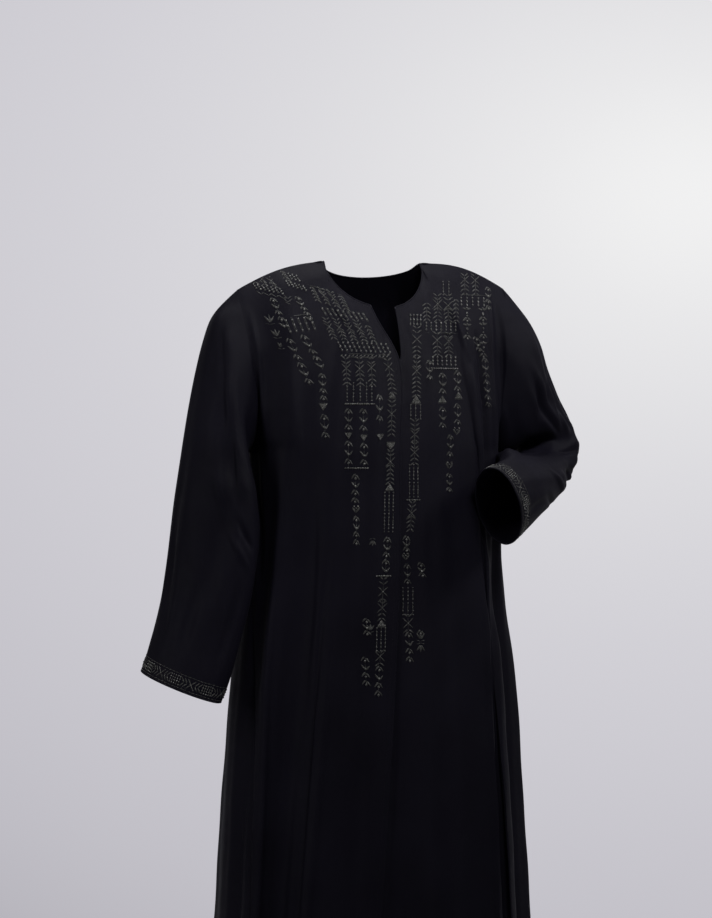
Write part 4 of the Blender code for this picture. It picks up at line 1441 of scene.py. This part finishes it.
def bead_glass():
    """Small smoke-grey beads, some duller than others."""
    material, shader = principled("smoke_bead", (0.04, 0.04, 0.037), 0.25, 0.4)
    coloured(material, shader, noise(material, 300.0, 1.0),
             (0.012, 0.012, 0.011), (0.055, 0.055, 0.050), 0.35, 0.7)
    roughened(material, shader, noise(material, 420.0), 0.16, 0.4)
    bumped(material, shader, noise(material, 1200.0), 0.2, 0.0002)
    return material


def sewing_thread():
    """Black sewing thread, a little glossier than the cloth; painted shade darkens its rib grooves.
    """
    material, shader = principled("black_thread", (0.002, 0.002, 0.0034), 0.5, 0.06)
    ribs = weave(material, 1400.0, "DIAGONAL")
    # The colour follows the ribs' height and is darker in their grooves: painted shade.
    coloured(material, shader, ribs, (0.0016, 0.0015, 0.0028), (0.0036, 0.0034, 0.0056))
    bumped(material, shader, ribs, 0.4, 0.0002)
    return material


# ------------------------------------------------------------------ the pieces
crepe = crepe_cloth()
satin = thread_satin()
glass = bead_glass()
sewing = sewing_thread()

ROW_FACTORS = [FINE_YOKE_ROWS] * YOKE_ROWS + [FINE_SKIRT_ROWS] * SKIRT_ROWS

# The edges of each piece that are turned and topstitched; the others are sewn into seams.
EDGES = {
    "right_front": ("first", "top", "bottom"),
    "left_front": ("first", "top", "bottom"),
    "back": ("top", "bottom"),
    "right_sleeve": ("bottom",),
    "left_sleeve": ("bottom",),
}


def front_cloth(side, columns, creases, seed):
    count = NECK_COLUMNS + SHOULDER_COLUMNS + 1
    grid = with_flutes(front_grid(side, columns), grid_angles(columns, count, side))
    if side > 0:
        grid = with_lap(grid)
    grid = refined(grid, False, ROW_FACTORS)
    normals = outward_normals(grid, False)
    lift = crease_lift(grid @ ACROSS, grid[..., 2], creases) + ripple(grid, seed)
    lift = lift * panel_fade(grid) + seam_lift(grid, ("last",))
    return grid + normals * lift[..., None]


def back_cloth():
    count = 2 * (BACK_NECK_COLUMNS + SHOULDER_COLUMNS) + 1
    grid = refined(with_flutes(back_grid(), grid_angles(BACK_COLUMNS, count)), False, ROW_FACTORS)
    normals = outward_normals(grid, False)
    lift = crease_lift(grid[..., 0], grid[..., 2], BACK_CREASES) + ripple(grid, 4.0)
    lift = lift * panel_fade(grid) + seam_lift(grid, ("first", "last"))
    return grid + normals * lift[..., None]


def sleeve_cloth(sections, loop, creases, folds):
    grid = with_creases(sleeve_grid(sections, loop), creases)
    grid = refined(grid, True, [FINE_RINGS] * SLEEVE_ROWS)
    normals = outward_normals(grid, True)
    folded = with_creases(grid, folds)
    rows = len(grid)
    fade = soft_step(np.arange(rows) / CAP_FADE_RINGS)
    kept = soft_step((rows - 1 - np.arange(rows)) / CUFF_FADE_RINGS)
    fade *= CUFF_FOLDS + (1 - CUFF_FOLDS) * kept
    angle = np.linspace(0, 2 * math.pi, grid.shape[1], endpoint=False)[None, :]
    share = np.linspace(0, 1, rows)[:, None]
    waves = sum(height * np.sin(turns * angle + falls * share)
                for height, turns, falls in SLEEVE_RIPPLES)
    folded = grid + (folded - grid) * FOLD_GAIN * fade[:, None, None]
    lift = waves * fade[:, None] + seam_lift(grid, ("top",))
    return folded + normals * lift[..., None]


def topstitch(shape, path, normals):
    """Short stitches, end to end with small gaps, on a path along the cloth."""
    path = np.asarray(path)
    lengths = np.linalg.norm(np.diff(path, axis=0), axis=1)
    places = np.concatenate(([0.0], np.cumsum(lengths)))
    for k in range(int(places[-1] / STITCH_PITCH)):
        ends = [k * STITCH_PITCH, k * STITCH_PITCH + STITCH]
        a, b = [np.array([np.interp(at, places, path[:, i]) for i in range(3)]) for at in ends]
        row = min(int(np.searchsorted(places, ends[0])), len(path) - 1)
        normal = normals[row]
        side = np.cross(b - a, normal)
        side *= STITCH_HALF / np.linalg.norm(side)
        middle = (a + b) / 2
        points = [a, middle + side, middle - side, b, middle + normal * STITCH_HIGH]
        shape.add(points, [[0, 1, 4], [0, 4, 2], [1, 3, 4], [4, 3, 2]])


def from_edge(grid, edge):
    """A grid turned so that its rows start at one of its edges."""
    if edge == "first":
        return grid.transpose(1, 0, 2)
    return grid[::-1] if edge == "bottom" else grid


def inset(grid, edge, distance):
    """The line at some distance from a grid's edge: its points and the rows that they end in."""
    ordered = from_edge(grid, edge)
    steps = np.linalg.norm(np.diff(ordered, axis=0), axis=2)
    places = np.concatenate((np.zeros((1, ordered.shape[1])), np.cumsum(steps, axis=0)))
    rows = (places < distance).sum(axis=0).clip(1, len(ordered) - 1)
    points = []
    for i, row in enumerate(rows):
        gap = places[row, i] - places[row - 1, i]
        t = (distance - places[row - 1, i]) / gap
        points.append(ordered[row - 1, i] * (1 - t) + ordered[row, i] * t)
    return np.array(points), rows


def finish_edge(name, grid, normals, edge, stitches, stitch_distance):
    """The rolled, turned edge of a piece, with its row of topstitching."""
    facing = from_edge(normals, edge)[0]
    closed = name.endswith("sleeve")
    path = from_edge(grid, edge)[0] - facing * LOOK_WALL / 2
    roll = Shape()
    roll.add(*tube(path, facing, ROLL, ROLL * ROLL_FLAT, closed))
    line, rows = inset(grid, edge, stitch_distance)
    picked = from_edge(normals, edge)[rows, np.arange(len(rows))]
    if closed:
        line = np.concatenate((line, line[:1]))
        picked = np.concatenate((picked, picked[:1]))
    topstitch(stitches, line + picked * STITCH_LIFT, picked)
    return roll.build(f"{name}_{edge}_edge", crepe)


def neckline_part(name, grid):
    """The part of a panel whose top row is the neckline, without its shoulder seams."""
    if name == "back":
        start = SHOULDER_COLUMNS * FINE_COLUMNS
        return grid[:, start:start + 2 * BACK_NECK_COLUMNS * FINE_COLUMNS + 1]
    return grid[:, :NECK_COLUMNS * FINE_COLUMNS + 1]


def embroidery(name, grid, normals, closed):
    """The thread and the beads of one piece."""
    if closed:
        rim = np.linalg.norm(np.roll(grid[-1], -1, axis=0) - grid[-1], axis=1).sum() * 1000
        work = Needlework(CuffGround(grid, normals))
        embroider_cuff(work, rim)
    else:
        work = Needlework(Ground(grid))
        (embroider_right if name == "right_front" else embroider_left)(work)
    return [work.thread.build(name + "_embroidery", satin),
            work.beads.build(name + "_beads", glass)]


def trimmings(name, grid, normals, closed):
    """The turned edges of one piece, its topstitching and its embroidery."""
    trim = []
    stitches = Shape()
    for edge in EDGES[name]:
        part, part_normals = grid, normals
        if edge == "top":
            part, part_normals = neckline_part(name, grid), neckline_part(name, normals)
        distance = HEM_STITCH if edge == "bottom" and not closed else EDGE_STITCH
        trim.append(finish_edge(name, part, part_normals, edge, stitches, distance))
    trim.append(stitches.build(name + "_stitches", sewing))
    return trim if name == "back" else trim + embroidery(name, grid, normals, closed)


right_front = front_cloth(-1, RIGHT_COLUMNS, RIGHT_CREASES, 1.0)
left_front = front_cloth(1, LEFT_COLUMNS, LEFT_CREASES, 2.6)
back = back_cloth()
right_sleeve = sleeve_cloth(RIGHT_SLEEVE, armhole_loop(-1), RIGHT_SLEEVE_CREASES,
                            RIGHT_SLEEVE_FOLDS)
left_sleeve = sleeve_cloth(LEFT_SLEEVE, armhole_loop(1), LEFT_SLEEVE_CREASES, LEFT_SLEEVE_FOLDS)

# Each piece as it was cut: the width and length of the cloth it takes, and its flat area.
CUTS = {
    # name: grid, closed, widest, longest, flat area
    "right_front": (right_front, False, 0.34, 1.48, 0.395),
    "left_front": (left_front, False, 0.50, 1.48, 0.50),
    "back": (back, False, 0.80, 1.48, 0.84),
    "right_sleeve": (right_sleeve, True, 0.54, 0.62, 0.17),
    "left_sleeve": (left_sleeve, True, 0.54, 0.62, 0.165),
}
for name, (grid, closed, wide, long, area) in CUTS.items():
    normals = outward_normals(grid, closed)
    cloth = cloth_wall(grid, normals, closed).build(name + "_cloth", crepe, sharp=60)
    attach(cloth, "root")
    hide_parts(name)
    trim = trimmings(name, grid, normals, closed)
    for item in trim:
        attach(item, "root")

# ------------------------------------------------------------------ floor, light and camera
FLOOR_Z = HEM_Z - 0.07  # the hem hangs clear of it
FLOOR_RADIUS = 2.4
FLOOR_SIDES = 96

# The studio's pale backdrop is brightest behind the left shoulder and dims away from there.
BACKDROP_GLOW = (0.424, 0.915, 0.130)
BACKDROP = (
    # distance from the glow, brightness, share of violet
    (0.00, 0.90, 0.00),
    (0.06, 0.82, 0.01),
    (0.14, 0.71, 0.03),
    (0.22, 0.645, 0.05),
    (0.32, 0.575, 0.06),
    (0.44, 0.490, 0.07),
    (1.00, 0.17, 0.05),
)


def studio_floor():
    floor_material, shader = principled("pale_floor", (0.62, 0.62, 0.64), 0.7, 0.3)
    coloured(floor_material, shader, noise(floor_material, 3.0),
             (0.60, 0.60, 0.62), (0.64, 0.64, 0.66))
    turns = [2 * math.pi * k / FLOOR_SIDES for k in range(FLOOR_SIDES)]
    rim = [(FLOOR_RADIUS * math.cos(turn), FLOOR_RADIUS * math.sin(turn), FLOOR_Z)
           for turn in turns]
    disc = Shape()
    disc.add([(0.0, 0.0, FLOOR_Z)] + rim,
             [[0, 1 + k, 1 + (k + 1) % FLOOR_SIDES] for k in range(FLOOR_SIDES)])
    disc.build("floor", floor_material)


def studio_air():
    """The backdrop, painted by direction: a glow that dims with the distance from its middle."""
    world = bpy.data.worlds.new("studio_air")
    world.use_nodes = True
    nodes, links = world.node_tree.nodes, world.node_tree.links
    place = nodes.new("ShaderNodeTexCoord")
    stretch = nodes.new("ShaderNodeVectorMath")
    stretch.operation = "MULTIPLY"
    stretch.inputs[1].default_value = (1.0, 1.0, 1.4)
    away = nodes.new("ShaderNodeVectorMath")
    away.operation = "DISTANCE"
    away.inputs[1].default_value = BACKDROP_GLOW
    tone = nodes.new("ShaderNodeValToRGB")
    tone.color_ramp.interpolation = "B_SPLINE"
    for row in BACKDROP[1:-1]:
        tone.color_ramp.elements.new(row[0])
    for stop, (distance, level, violet) in zip(tone.color_ramp.elements, BACKDROP):
        stop.position = distance
        stop.color = (level, level * (1 - violet / 3), level * (1 + violet), 1.0)
    links.new(place.outputs["Generated"], stretch.inputs[0])
    links.new(stretch.outputs["Vector"], away.inputs[0])
    links.new(away.outputs["Value"], tone.inputs["Fac"])
    links.new(tone.outputs["Color"], nodes["Background"].inputs["Color"])
    nodes["Background"].inputs["Strength"].default_value = 1.0
    bpy.context.scene.world = world


def area_light(name, place, aim, size, watts, spread):
    data = bpy.data.lights.new(name, "AREA")
    data.shape = "RECTANGLE"
    data.size, data.size_y = size
    data.energy = watts
    data.spread = math.radians(spread)
    lamp = bpy.data.objects.new(name, data)
    lamp.location = place
    lamp.rotation_euler = (Vector(aim) - Vector(place)).to_track_quat("-Z", "Y").to_euler()
    bpy.context.scene.collection.objects.link(lamp)


LIGHTS = (
    # name, place, aim, width and height, watts, spread in degrees
    ("key", (0.3, -1.8, 1.5), (-0.05, 0, 0), (0.8, 0.6), 8, 52),
    ("side", (1.9, -0.7, 1.2), (0.1, 0, -0.1), (0.4, 0.7), 8, 80),
    ("fill", (-2.5, -0.7, 0.5), (-0.1, 0, -0.4), (0.5, 1.4), 15, 120),
    ("top", (0.1, 0.5, 2.0), (0, 0, 0), (1.2, 0.6), 20, 110),
)

# The camera stands in the layout's view.
CAMERA_DISTANCE = 4.2
CAMERA_Z = -0.279
CAMERA_ASIDE = -0.0234
LENS = 112.9            # millimetres

studio_floor()
studio_air()
for light in LIGHTS:
    area_light(*light)

lens = bpy.data.cameras.new("camera")
lens.lens = LENS
lens.sensor_fit = "VERTICAL"
lens.sensor_height = 36.0
lens.clip_end = 50.0
camera = bpy.data.objects.new("camera", lens)
camera.location = ACROSS * CAMERA_ASIDE - AHEAD * CAMERA_DISTANCE + UP * CAMERA_Z
camera.rotation_euler = Vector(AHEAD).to_track_quat("-Z", "Y").to_euler()
bpy.context.scene.collection.objects.link(camera)
bpy.context.scene.camera = camera
bpy.context.scene.view_settings.view_transform = "Standard"
